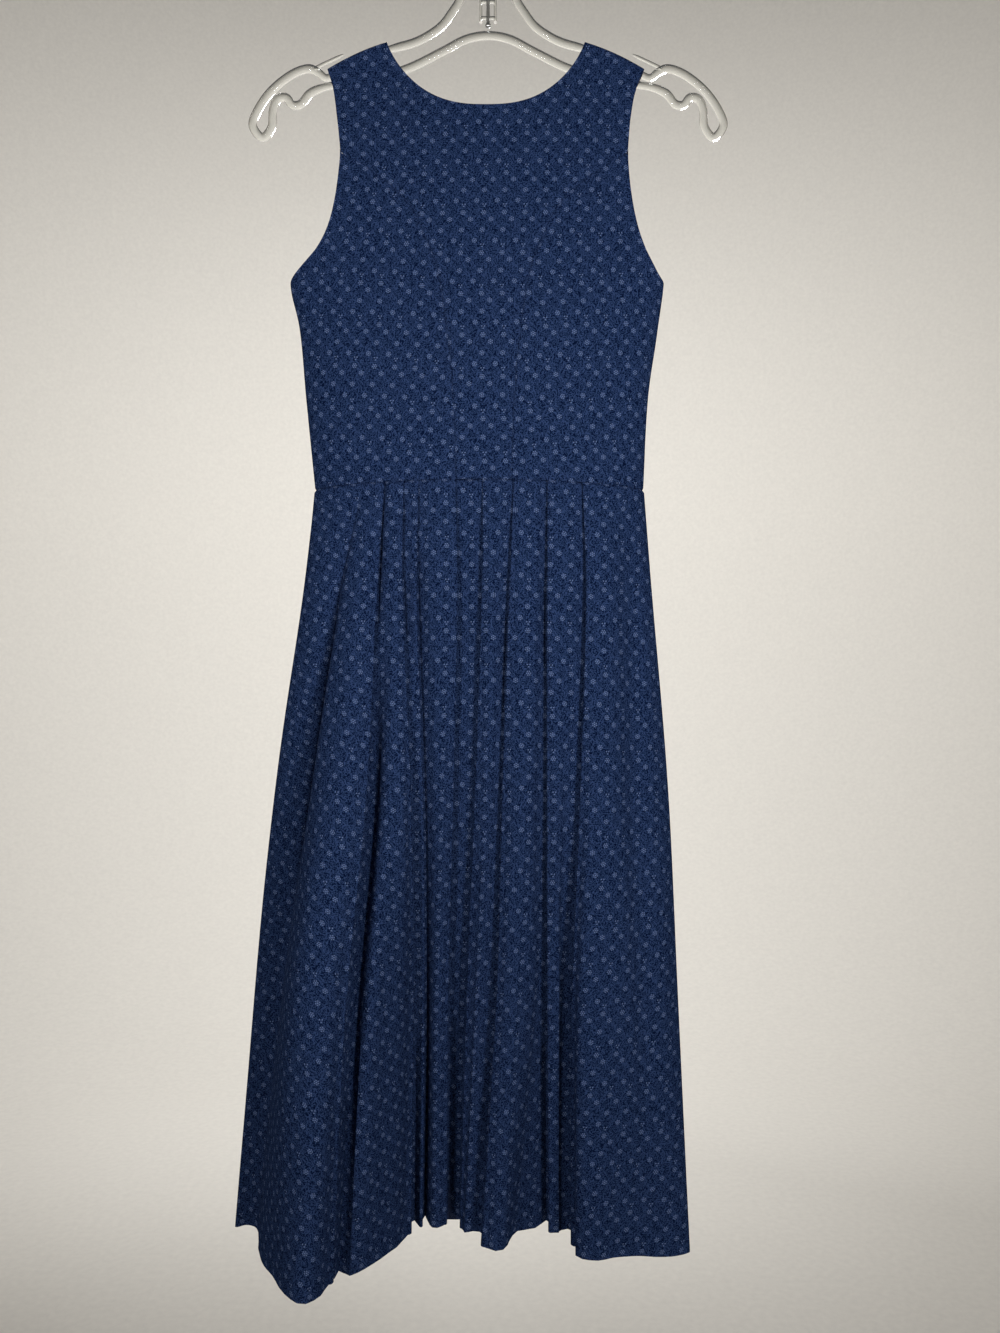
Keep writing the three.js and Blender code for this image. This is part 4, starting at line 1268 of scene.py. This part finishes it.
    def spread(self, line: ClothLine) -> tuple[Array, ...]:
        """Puts more points on the line, on smooth curves over the open faces.

        Returns:
            X and Y with one row per level, how freely each column may ripple, and how far it rounds out.
        """
        x, y = np.array(line.x), np.array(line.y)
        gap = np.hypot(np.diff(x, axis=0), np.diff(y, axis=0))
        knots = np.concatenate([[0.0], np.cumsum(np.maximum(gap.mean(1), self.least_gap))])
        still = np.zeros(1)
        parts = []
        k = 0
        last = len(x) - 1
        while k < last:
            end = k + 1
            open_face = not (line.hard[k] or line.hard[end])
            while open_face and end < last and not line.hard[end + 1]:
                end += 1
            if open_face:
                part = slice(k, end + 1)
                span = knots[end] - knots[k]
                count = max(int(span / self.span_step), 2 * (end - k))
                at = np.linspace(knots[k], knots[end], count + 1)[:-1]
                f = (at - knots[k]) / span
                free = smoothstep(np.minimum(f, 1 - f) * span, *self.ripple_edge)
                from_left = f * span if k else np.full_like(f, span)
                from_right = (1 - f) * span if end < last else np.full_like(f, span)
                beside = np.minimum(from_left, from_right)
                ridge = smoothstep(beside, *self.ridge_start) * (1 - smoothstep(beside, *self.ridge_end))
                curve = (through(knots[part], way[part], at) for way in (x, y))
                parts.append((*curve, free, ridge))
            else:
                parts.append((x[k : k + 1], y[k : k + 1], still, still))
            k = end
        parts.append((x[-1:], y[-1:], still, still))
        return tuple(np.concatenate(column).T for column in zip(*parts))

    def ripple(self, x: Array, free: Array, ridge: Array) -> Array:
        """Returns how far the open faces round out and ripple, more towards the hem."""
        t = self.below[:, None]
        round_face = self.roll * (self.roll_waist + self.roll_growth * smoothstep(t, *self.roll_grows))
        waves = sum(
            high * np.sin(x / long + phase + drift * t + sway * np.sin(7 * t))
            for high, long, phase, drift, sway in self.waves
        )
        growing = self.wave_waist + t**self.wave_power
        return ridge[None, :] * round_face + free[None, :] * waves * growing

    def width(self, name: str, rows: Sequence[Fold], side: Side, grain: Grain) -> Piece:
        """Builds one width of the skirt.

        Args:
            name: the CAD node that it stands for.
            rows: its folds from left to right.
            side: back or front.
            grain: how the print lies on it.

        Returns:
            The dressed cloth.
        """
        x, y, free, ridge = self.spread(self.line(rows, side))
        normal = self.plan_normals(x, y, side.sign)
        moved = self.ripple(x, free, ridge)
        x, y = x + normal[..., 0] * moved, y + normal[..., 1] * moved
        x, y = self.tucked_in(x, y, side)
        z = np.empty_like(x)
        z[0] = FORM.waist(x[0]) - SEAM_GAP / 2 - self.t[0] * self.length
        for j in range(1, len(self.t)):
            cloth = self.length * (self.t[j] - self.t[j - 1])
            across = np.hypot(x[j] - x[j - 1], y[j] - y[j - 1])
            z[j] = z[j - 1] - np.sqrt(np.maximum(cloth**2 - across**2, (self.steepest * cloth) ** 2))
        place = np.stack([x, y, z], -1)
        cloth = grain.lay(self.across_cloth(x, y), np.repeat(self.t[:, None] * self.length, x.shape[1], 1))
        shell = ClothMesh(name + "_cloth", place, normal, cloth)
        made = stand_in(shell.build(self.finishes.calico, self.finishes.reverse), name)
        around = np.hypot(np.diff(x, axis=1), np.diff(y, axis=1)).sum(1)
        top, wide = float(around[len(self.allowance)]), float(around.max())
        shell.area()
        LOG.info("%s: %.0f mm at the waist, %.0f at its widest, %.4f m2", name, top, wide, shell.area())
        return made

    def tucked_in(self, x: Array, y: Array, side: Side) -> tuple[Array, Array]:
        """Returns the cloth moved towards the body where it goes in behind the waist seam."""
        down = self.t * self.length
        shift = np.interp(down, [-0.6, 0.0, self.dip_end], [self.dip_behind, self.dip, 0.0])[:, None]
        across = np.clip(FORM.share(x, WAIST_Z), -1.0, 1.0)
        out_x = across / HALF.at(WAIST_Z)
        out_y = side.sign * np.sqrt(1 - across**2) / FORM.depth(WAIST_Z, side)
        length = np.hypot(out_x, out_y)
        return x - shift * out_x / length, y - shift * out_y / length

    @staticmethod
    def across_cloth(x: Array, y: Array) -> Array:
        """Returns the cloth's own coordinate across, from its middle."""
        step = np.hypot(np.diff(x, axis=1), np.diff(y, axis=1))
        u = np.concatenate([np.zeros((len(x), 1)), np.cumsum(step, axis=1)], axis=1)
        return u - u[:, u.shape[1] // 2][:, None]

    def plan_normals(self, x: Array, y: Array, sign: float) -> Array:
        """Returns outward normals in plan, square to the side seams at the ends."""
        dx, dy = np.diff(x, axis=1), np.diff(y, axis=1)
        length = np.maximum(np.hypot(dx, dy), 1e-9)
        nx, ny = dy / length * -sign, dx / length * sign
        first = np.concatenate([nx[:, :1], nx], 1), np.concatenate([ny[:, :1], ny], 1)
        second = np.concatenate([nx, nx[:, -1:]], 1), np.concatenate([ny, ny[:, -1:]], 1)
        sx, sy = first[0] + second[0], first[1] + second[1]
        total = np.maximum(np.hypot(sx, sy), 1e-9)
        sx, sy = sx / total, sy / total
        facing = np.maximum(sx * first[0] + sy * first[1], self.mitre_least)
        mitre = np.minimum(1 / facing, self.mitre_most)
        sx, sy = sx * mitre, sy * mitre
        sx[:, 0], sy[:, 0] = -1.0, 0.0
        sx[:, -1], sy[:, -1] = 1.0, 0.0
        return np.stack([sx, sy, np.zeros_like(sx)], -1)


@dataclass
class Shape:
    """Points and faces of a piece while it is put together."""

    points: list[Array] = field(default_factory=list)
    faces: list[tuple[int, ...]] = field(default_factory=list)

    @property
    def count(self) -> int:
        """Number of points so far."""
        return sum(len(p) for p in self.points)

    def add(self, points: Array, faces: Sequence[tuple[int, ...]]) -> None:
        """Adds a closed part."""
        start = self.count
        self.points.append(np.asarray(points, float))
        self.faces += [tuple(start + i for i in face) for face in faces]

    def tube(self, rings: Array, closed: bool, capped: bool = True) -> None:
        """Adds a tube over rings of points, capped where it isn't closed, unless capped is off."""
        count, sides = rings.shape[:2]
        faces = []
        for j in range(count if closed else count - 1):
            for i in range(sides):
                a, b = j * sides + i, j * sides + (i + 1) % sides
                step = ((j + 1) % count) * sides - j * sides
                faces.append((a, b, b + step, a + step))
        if capped and not closed:
            faces.append(tuple(reversed(range(sides))))
            faces.append(tuple((count - 1) * sides + i for i in range(sides)))
        self.add(rings.reshape(-1, 3), faces)

    def all_points(self) -> Array:
        """Returns the points of all parts."""
        return np.concatenate(self.points)


def lathe(profile: Sequence[Pair], sides: int) -> Array:
    """Returns rings round the Z axis from rows of a radius and a height."""
    angle = np.linspace(0, 2 * math.pi, sides, endpoint=False)
    rings = [(r * np.cos(angle), r * np.sin(angle), np.full(sides, h)) for r, h in profile]
    return np.array(rings).swapaxes(1, 2)


def plane_rings(path: Array, across: Array | float, deep: Array | float, sides: int) -> Array:
    """Rings of an oval section along a path in the XZ plane.

    Args:
        path: points (x, z), dense and smooth; the first repeats at the end if it is closed.
        across: half width in the plane, one for all points or one each.
        deep: half width along Y, likewise.
        sides: points of each ring.

    Returns:
        The rings as an array of points.
    """
    across, deep = (np.broadcast_to(np.asarray(w, float), len(path)) for w in (across, deep))
    tangent = np.gradient(path, axis=0)
    if np.allclose(path[0], path[-1]):
        tangent[0] = tangent[-1] = path[1] - path[-2]
    tangent /= np.linalg.norm(tangent, axis=1, keepdims=True)
    aside = np.stack([-tangent[:, 1], tangent[:, 0]], -1)
    angle = np.linspace(0, 2 * math.pi, sides, endpoint=False)
    plane = path[:, None, :] + aside[:, None, :] * (across[:, None] * np.cos(angle))[..., None]
    return np.stack([plane[..., 0], deep[:, None] * np.sin(angle), plane[..., 1]], -1)


def smooth_path(points: Array, closed: bool, count: int, samples: int = 4000) -> Array:
    """Centripetal smooth curve through points, evenly spaced.

    Args:
        points: knots (x, z).
        closed: whether the curve comes back to its first knot.
        count: number of points wanted.
        samples: number of points that its length is measured on.

    Returns:
        The curve; a closed one ends on its first point.
    """
    p = np.asarray(points, float)
    if closed:
        p = np.concatenate([p[-3:], p, p[:3]])
    knots = np.concatenate([[0.0], np.cumsum(np.sqrt(np.linalg.norm(np.diff(p, axis=0), axis=1)))])
    low, high = (knots[3], knots[-3]) if closed else (knots[0], knots[-1])
    fine = through(knots, p, np.linspace(low, high, samples))
    along = np.concatenate([[0.0], np.cumsum(np.linalg.norm(np.diff(fine, axis=0), axis=1))])
    even = np.linspace(0, along[-1], count)
    return np.stack([np.interp(even, along, fine[:, k]) for k in range(2)], -1)


RAIL_LINE = (
    (0, -58), (14, -61), (23, -72), (26, -87), (33, -98.5), (42, -110.5), (54, -119.5),
    (68, -126.5), (91, -133), (112, -140.4), (131, -149.6), (142, -156.6), (149.5, -159),
    (157, -153.5), (165, -150.5), (177, -154), (190, -162.5), (202, -174), (212, -189),
    (216.5, -203), (207.5, -214), (199, -204), (198, -190), (194, -179), (186, -177),
    (180, -184), (172, -183), (164, -173.5), (152, -168), (138, -165.5), (113, -161),
    (75.5, -151), (40.5, -134), (20, -123.5), (0, -120),
)

KEEPER_LINE = ((160, -150.5), (151, -146), (142, -141.8), (135, -138.5), (133, -137.6))


@dataclass
class Hanger:
    """The clear moulded hanger with its plated swivel hook."""

    finishes: Finishes
    in_plane: float = 3.3
    in_plane_open: float = 4.0
    across: float = 2.8
    sides: int = 20
    boss_x: float = 6.6
    boss_top: float = -58.0
    boss_bottom: float = -108.0
    bars: Pair = (-89.0, -104.0)
    wire: float = 1.7
    radius: float = 20.0
    ball: float = 2.6
    post: Pair = (1.4, 2.5)
    bar: Pair = (1.5, 2.0)
    shank_top: float = -46.0
    shank_end: float = -111.0
    rail_steps: int = 521
    hook_steps: int = 150
    hook_turns: tuple[float, ...] = (-50, -25, 0, 30, 60, 90, 120, 150, 180, 200)
    strap_inner: Pair = (78, 92)
    strap_outer: Pair = (146, 162)
    crisp: float = 60.0

    def build(self) -> list[Piece]:
        """Builds the frame and the hook."""
        return [self.frame(), self.hook()]

    def frame(self) -> Piece:
        """Builds the rails, the keepers and the boss."""
        half = np.array(RAIL_LINE, float)
        path = smooth_path(np.concatenate([half, half[1:-1][::-1] * (-1, 1)]), True, self.rail_steps)
        away = np.abs(path[:, 0])
        under_strap = smoothstep(away, *self.strap_inner) * (1 - smoothstep(away, *self.strap_outer))
        wide = lerp(self.in_plane_open, self.in_plane, under_strap)
        shape = Shape()
        shape.tube(plane_rings(path, wide, self.across, self.sides)[:-1], True)
        for side in (-1, 1):
            post = [(side * self.boss_x, z) for z in np.linspace(self.boss_top, self.boss_bottom, 14)]
            shape.tube(plane_rings(np.array(post), *self.post, 16), False)
            finger = smooth_path(np.array(KEEPER_LINE, float) * (side, 1), False, 16)
            slim = np.interp(np.linspace(0, 1, 16), [0, 0.8, 1], [1.5, 1.45, 0.7])
            shape.tube(plane_rings(finger, slim, slim, 14), False)
        for z in self.bars:
            bar = np.array([(x, z) for x in np.linspace(-self.boss_x, self.boss_x, 8)])
            shape.tube(plane_rings(bar, *self.bar, 12), False)
        made = mesh_piece("clear_frame", shape.all_points(), shape.faces, self.finishes.plastic, self.crisp)
        return stand_in(made, "hanger_frame")

    def hook(self) -> Piece:
        """Builds the wire hook with the ball that holds it in the boss."""
        reach = self.radius + self.wire
        points = [(0, z) for z in (self.shank_end, -90, self.boss_top - 6, self.boss_top, self.shank_top)]
        points.append((3.5, self.shank_top + 5))
        for a in map(math.radians, self.hook_turns):
            points.append((reach * math.cos(a), -self.radius + reach * math.sin(a)))
        path = smooth_path(np.array(points, float), False, self.hook_steps)
        thick = np.interp(np.arange(self.hook_steps), [0, 146, 148, 149], [self.wire, self.wire, 1.5, 0.9])
        shape = Shape()
        shape.tube(plane_rings(path, thick, thick, 20), False)
        rise = np.linspace(-math.pi / 2 + 0.05, math.pi / 2 - 0.05, 14)
        ball = np.stack([np.zeros(14), self.shank_end + self.ball * np.sin(rise)], -1)
        shape.tube(plane_rings(ball, self.ball * np.cos(rise), self.ball * np.cos(rise), 20), False)
        made = mesh_piece("wire_hook", shape.all_points(), shape.faces, self.finishes.steel, self.crisp)
        return stand_in(made, "hanger_hook")


@dataclass(frozen=True)
class Seat:
    """A place on the closing and the direction out of the cloth there."""

    place: Vector
    out: Vector

    def piece(
        self,
        name: str,
        shape: Shape,
        finish: Finish,
        raised: float,
        aside: float = 0.0,
        crisp: float = 40.0,
    ) -> Piece:
        """Sets a shape whose own Y points out of the cloth on this seat.

        Args:
            name: the piece's name.
            shape: its points and faces.
            finish: its material.
            raised: how far out it stands, in millimetres.
            aside: how far to the right it is moved.
            crisp: edges sharper than this angle in degrees stay crisp.

        Returns:
            The piece.
        """
        turn = Vector((0, 1, 0)).rotation_difference(self.out).to_matrix()
        base = self.place + self.out * raised + turn @ Vector((aside, 0, 0))
        points = np.array([turn @ Vector(p) + base for p in shape.all_points()])
        return mesh_piece(name, points, shape.faces, finish, crisp)


@dataclass
class Buttons:
    """Six dished buttons down the front closing, with their threads and buttonholes."""

    finishes: Finishes
    count: int = 6
    radius: float = 6.5
    height: float = 2.4
    dish: float = 0.7
    sides: int = 40
    raised: float = CLOTH_PLACE / 2 + SEAM_GAP
    hole_length: float = 15.0
    hole_width: float = 2.6
    hole_steps: int = 44
    hole_raised: float = 0.55
    hole_aside: float = 2.2
    first: float = -296.0
    last: float = -520.0

    def build(self) -> list[Piece]:
        """Builds every button with its thread and its buttonhole."""
        made = []
        for i in range(self.count):
            z = lerp(self.first, self.last, i / (self.count - 1))
            x = float(Bodice.closing(z))
            place, normal = FORM.surface(np.array([x]), np.array([z]), Side.FRONT, CLOTH_PLACE + SEAM_GAP)
            seat = Seat(Vector(place[0]), Vector(normal[0]).normalized())
            made += [self.button(i + 1, seat), self.thread(i + 1, seat), self.buttonhole(i + 1, seat)]
        return made

    def button(self, number: int, seat: Seat) -> Piece:
        """Builds the resin part of one button."""
        r, top, dished = self.radius, self.height, self.height - self.dish
        profile = (
            (0.02, 0.0), (r - 0.9, 0.0), (r - 0.25, 0.25), (r, 0.9), (r, top - 0.8),
            (r - 0.3, top - 0.2), (r - 0.9, top), (r - 1.5, top - 0.15),
            (r - 2.2, dished + 0.1), (r - 3.0, dished), (0.02, dished),
        )
        shape = Shape()
        shape.tube(lathe(profile, self.sides)[..., [0, 2, 1]], False)
        made = seat.piece(f"resin_button_{number}", shape, self.finishes.resin, self.raised, crisp=35)
        return stand_in(made, f"button_{number}")

    def thread(self, number: int, seat: Seat) -> Piece:
        """Builds the crossed thread on a button's face."""
        top = self.height - self.dish
        t = np.linspace(-1, 1, 13)
        angle = np.linspace(0, 2 * math.pi, 8, endpoint=False)
        shape = Shape()
        for side in (-1, 1):
            path = np.stack([1.5 * t * side, top + 0.35 * (1 - t**2) - 0.1, 1.5 * t], -1)
            aside = np.array([1.0, 0.0, -side]) / math.sqrt(2)
            ring = 0.4 * (np.outer(np.cos(angle), aside) + np.outer(np.sin(angle), [0, 0.7, 0]))
            shape.tube(path[:, None] + ring, False)
        made = seat.piece(f"button_thread_{number}", shape, self.finishes.thread, self.raised)
        return stand_in(made)

    def buttonhole(self, number: int, seat: Seat) -> Piece:
        """Builds the stitched bar round the slit that a button goes through."""
        half = self.hole_length / 2
        a = np.linspace(0, 2 * math.pi, self.hole_steps + 1)
        x = np.clip(half * 1.25 * np.cos(a), -half, half)
        z = self.hole_width / 2 * np.sign(np.sin(a)) * np.minimum(np.abs(np.sin(a)) * 2.2, 1)
        path = np.stack([x, z], -1)
        path[-1] = path[0]
        shape = Shape()
        shape.tube(plane_rings(path, 0.75, 0.35, 8)[:-1], True)
        name = f"buttonhole_{number}"
        made = seat.piece(name, shape, self.finishes.thread, self.hole_raised, self.hole_aside)
        return stand_in(made)


@dataclass(frozen=True)
class Lamp:
    """A soft square light, in metres and watts; those of the backdrop are unseen in glass."""

    name: str
    place: Triple
    target: Triple
    size: float
    power: float
    backdrop: bool = False
    colour: Triple = (1.0, 0.995, 0.985)

    def build(self) -> None:
        """Adds the light to the scene."""
        lamp = bpy.data.lights.new(self.name, "AREA")
        lamp.size, lamp.energy, lamp.color = self.size, self.power, self.colour
        made = bpy.data.objects.new(self.name, lamp)
        made.location = self.place
        made.visible_camera = False
        made.visible_transmission = made.visible_glossy = not self.backdrop
        made.rotation_euler = (Vector(self.target) - Vector(self.place)).to_track_quat("-Z", "Y").to_euler()
        bpy.context.scene.collection.objects.link(made)


@dataclass
class Studio:
    """The pale floor that curves up all round, the soft lights and the camera."""

    floor_z: float = -2.1
    radius: float = 5.0
    rise: float = 2.2
    height: float = 7.5
    sides: int = 72
    pale: Rgb = (233, 230, 224)
    even_light: float = 0.08
    lens: float = 29.35
    sensor: float = 36.0
    camera_at: Triple = (0.011, -1.0, -0.7006)
    lamps: tuple[Lamp, ...] = (
        Lamp("key", (0.5, -1.0, -0.55), (0.0, 0.0, -0.4), 0.2, 8.4),
        Lamp("fill", (-0.5, -1.0, -0.5), (0.0, 0.0, -0.4), 0.2, 5.8),
        Lamp("rear", (0.7, 1.5, -0.15), (0.0, 0.0, -0.55), 0.5, 24.0),
        Lamp("wall", (-0.1, 1.7, 0.5), (-0.1, 5.0, -0.15), 2.6, 104.0, True),
        Lamp("far", (0.0, -1.9, 0.3), (0.0, -5.0, -0.35), 2.6, 22.0, True),
    )

    def build(self) -> None:
        """Builds the floor, the lights, the world and the camera."""
        self.floor()
        self.light()
        self.camera()
        bpy.context.scene.view_settings.view_transform = "Standard"

    def floor(self) -> None:
        """Builds the floor as a shallow round bowl."""
        flat = self.radius - self.rise
        profile = [(0.001, 0.0), (1.2, 0.0), (flat, 0.0)]
        for a in np.linspace(0, math.pi / 2, 14)[1:]:
            profile.append((flat + self.rise * math.sin(a), self.rise * (1 - math.cos(a))))
        profile.append((self.radius, self.height))
        shape = Shape()
        shape.tube(lathe(profile, self.sides), False, capped=False)
        points = shape.all_points() + (0, 0, self.floor_z)
        finish = Polished("pale_floor", self.pale, 0.8, 0.0, 0.05).build()
        mesh_piece("pale_floor", points / MM, shape.faces, finish, 180)

    def light(self) -> None:
        """Sets the lamps and the world's even light."""
        world = bpy.data.worlds.new("studio")
        bpy.context.scene.world = world
        world.use_nodes = True
        ground = world.node_tree.nodes["Background"]
        ground.inputs[0].default_value = (1.0, 1.0, 1.0, 1.0)
        ground.inputs[1].default_value = self.even_light
        for lamp in self.lamps:
            lamp.build()

    def camera(self) -> None:
        """Sets the camera level with the dress's middle, a metre from it."""
        lens = bpy.data.cameras.new("camera")
        lens.sensor_fit, lens.sensor_height, lens.lens = "VERTICAL", self.sensor, self.lens
        made = bpy.data.objects.new("camera", lens)
        made.location = self.camera_at
        made.rotation_euler = (math.pi / 2, 0, 0)
        bpy.context.scene.collection.objects.link(made)
        bpy.context.scene.camera = made


def main() -> None:
    """Builds the scene in order and reports each piece."""
    logging.basicConfig(level=logging.INFO, format="%(message)s")
    finishes = Finishes()
    Studio().build()
    for maker in (Bodice(finishes), Skirt(finishes), Hanger(finishes), Buttons(finishes)):
        for piece in maker.build():
            LOG.info("%s: %s", type(maker).__name__, piece.name)
    bpy.context.view_layer.update()


if __name__ == "__main__":
    main()
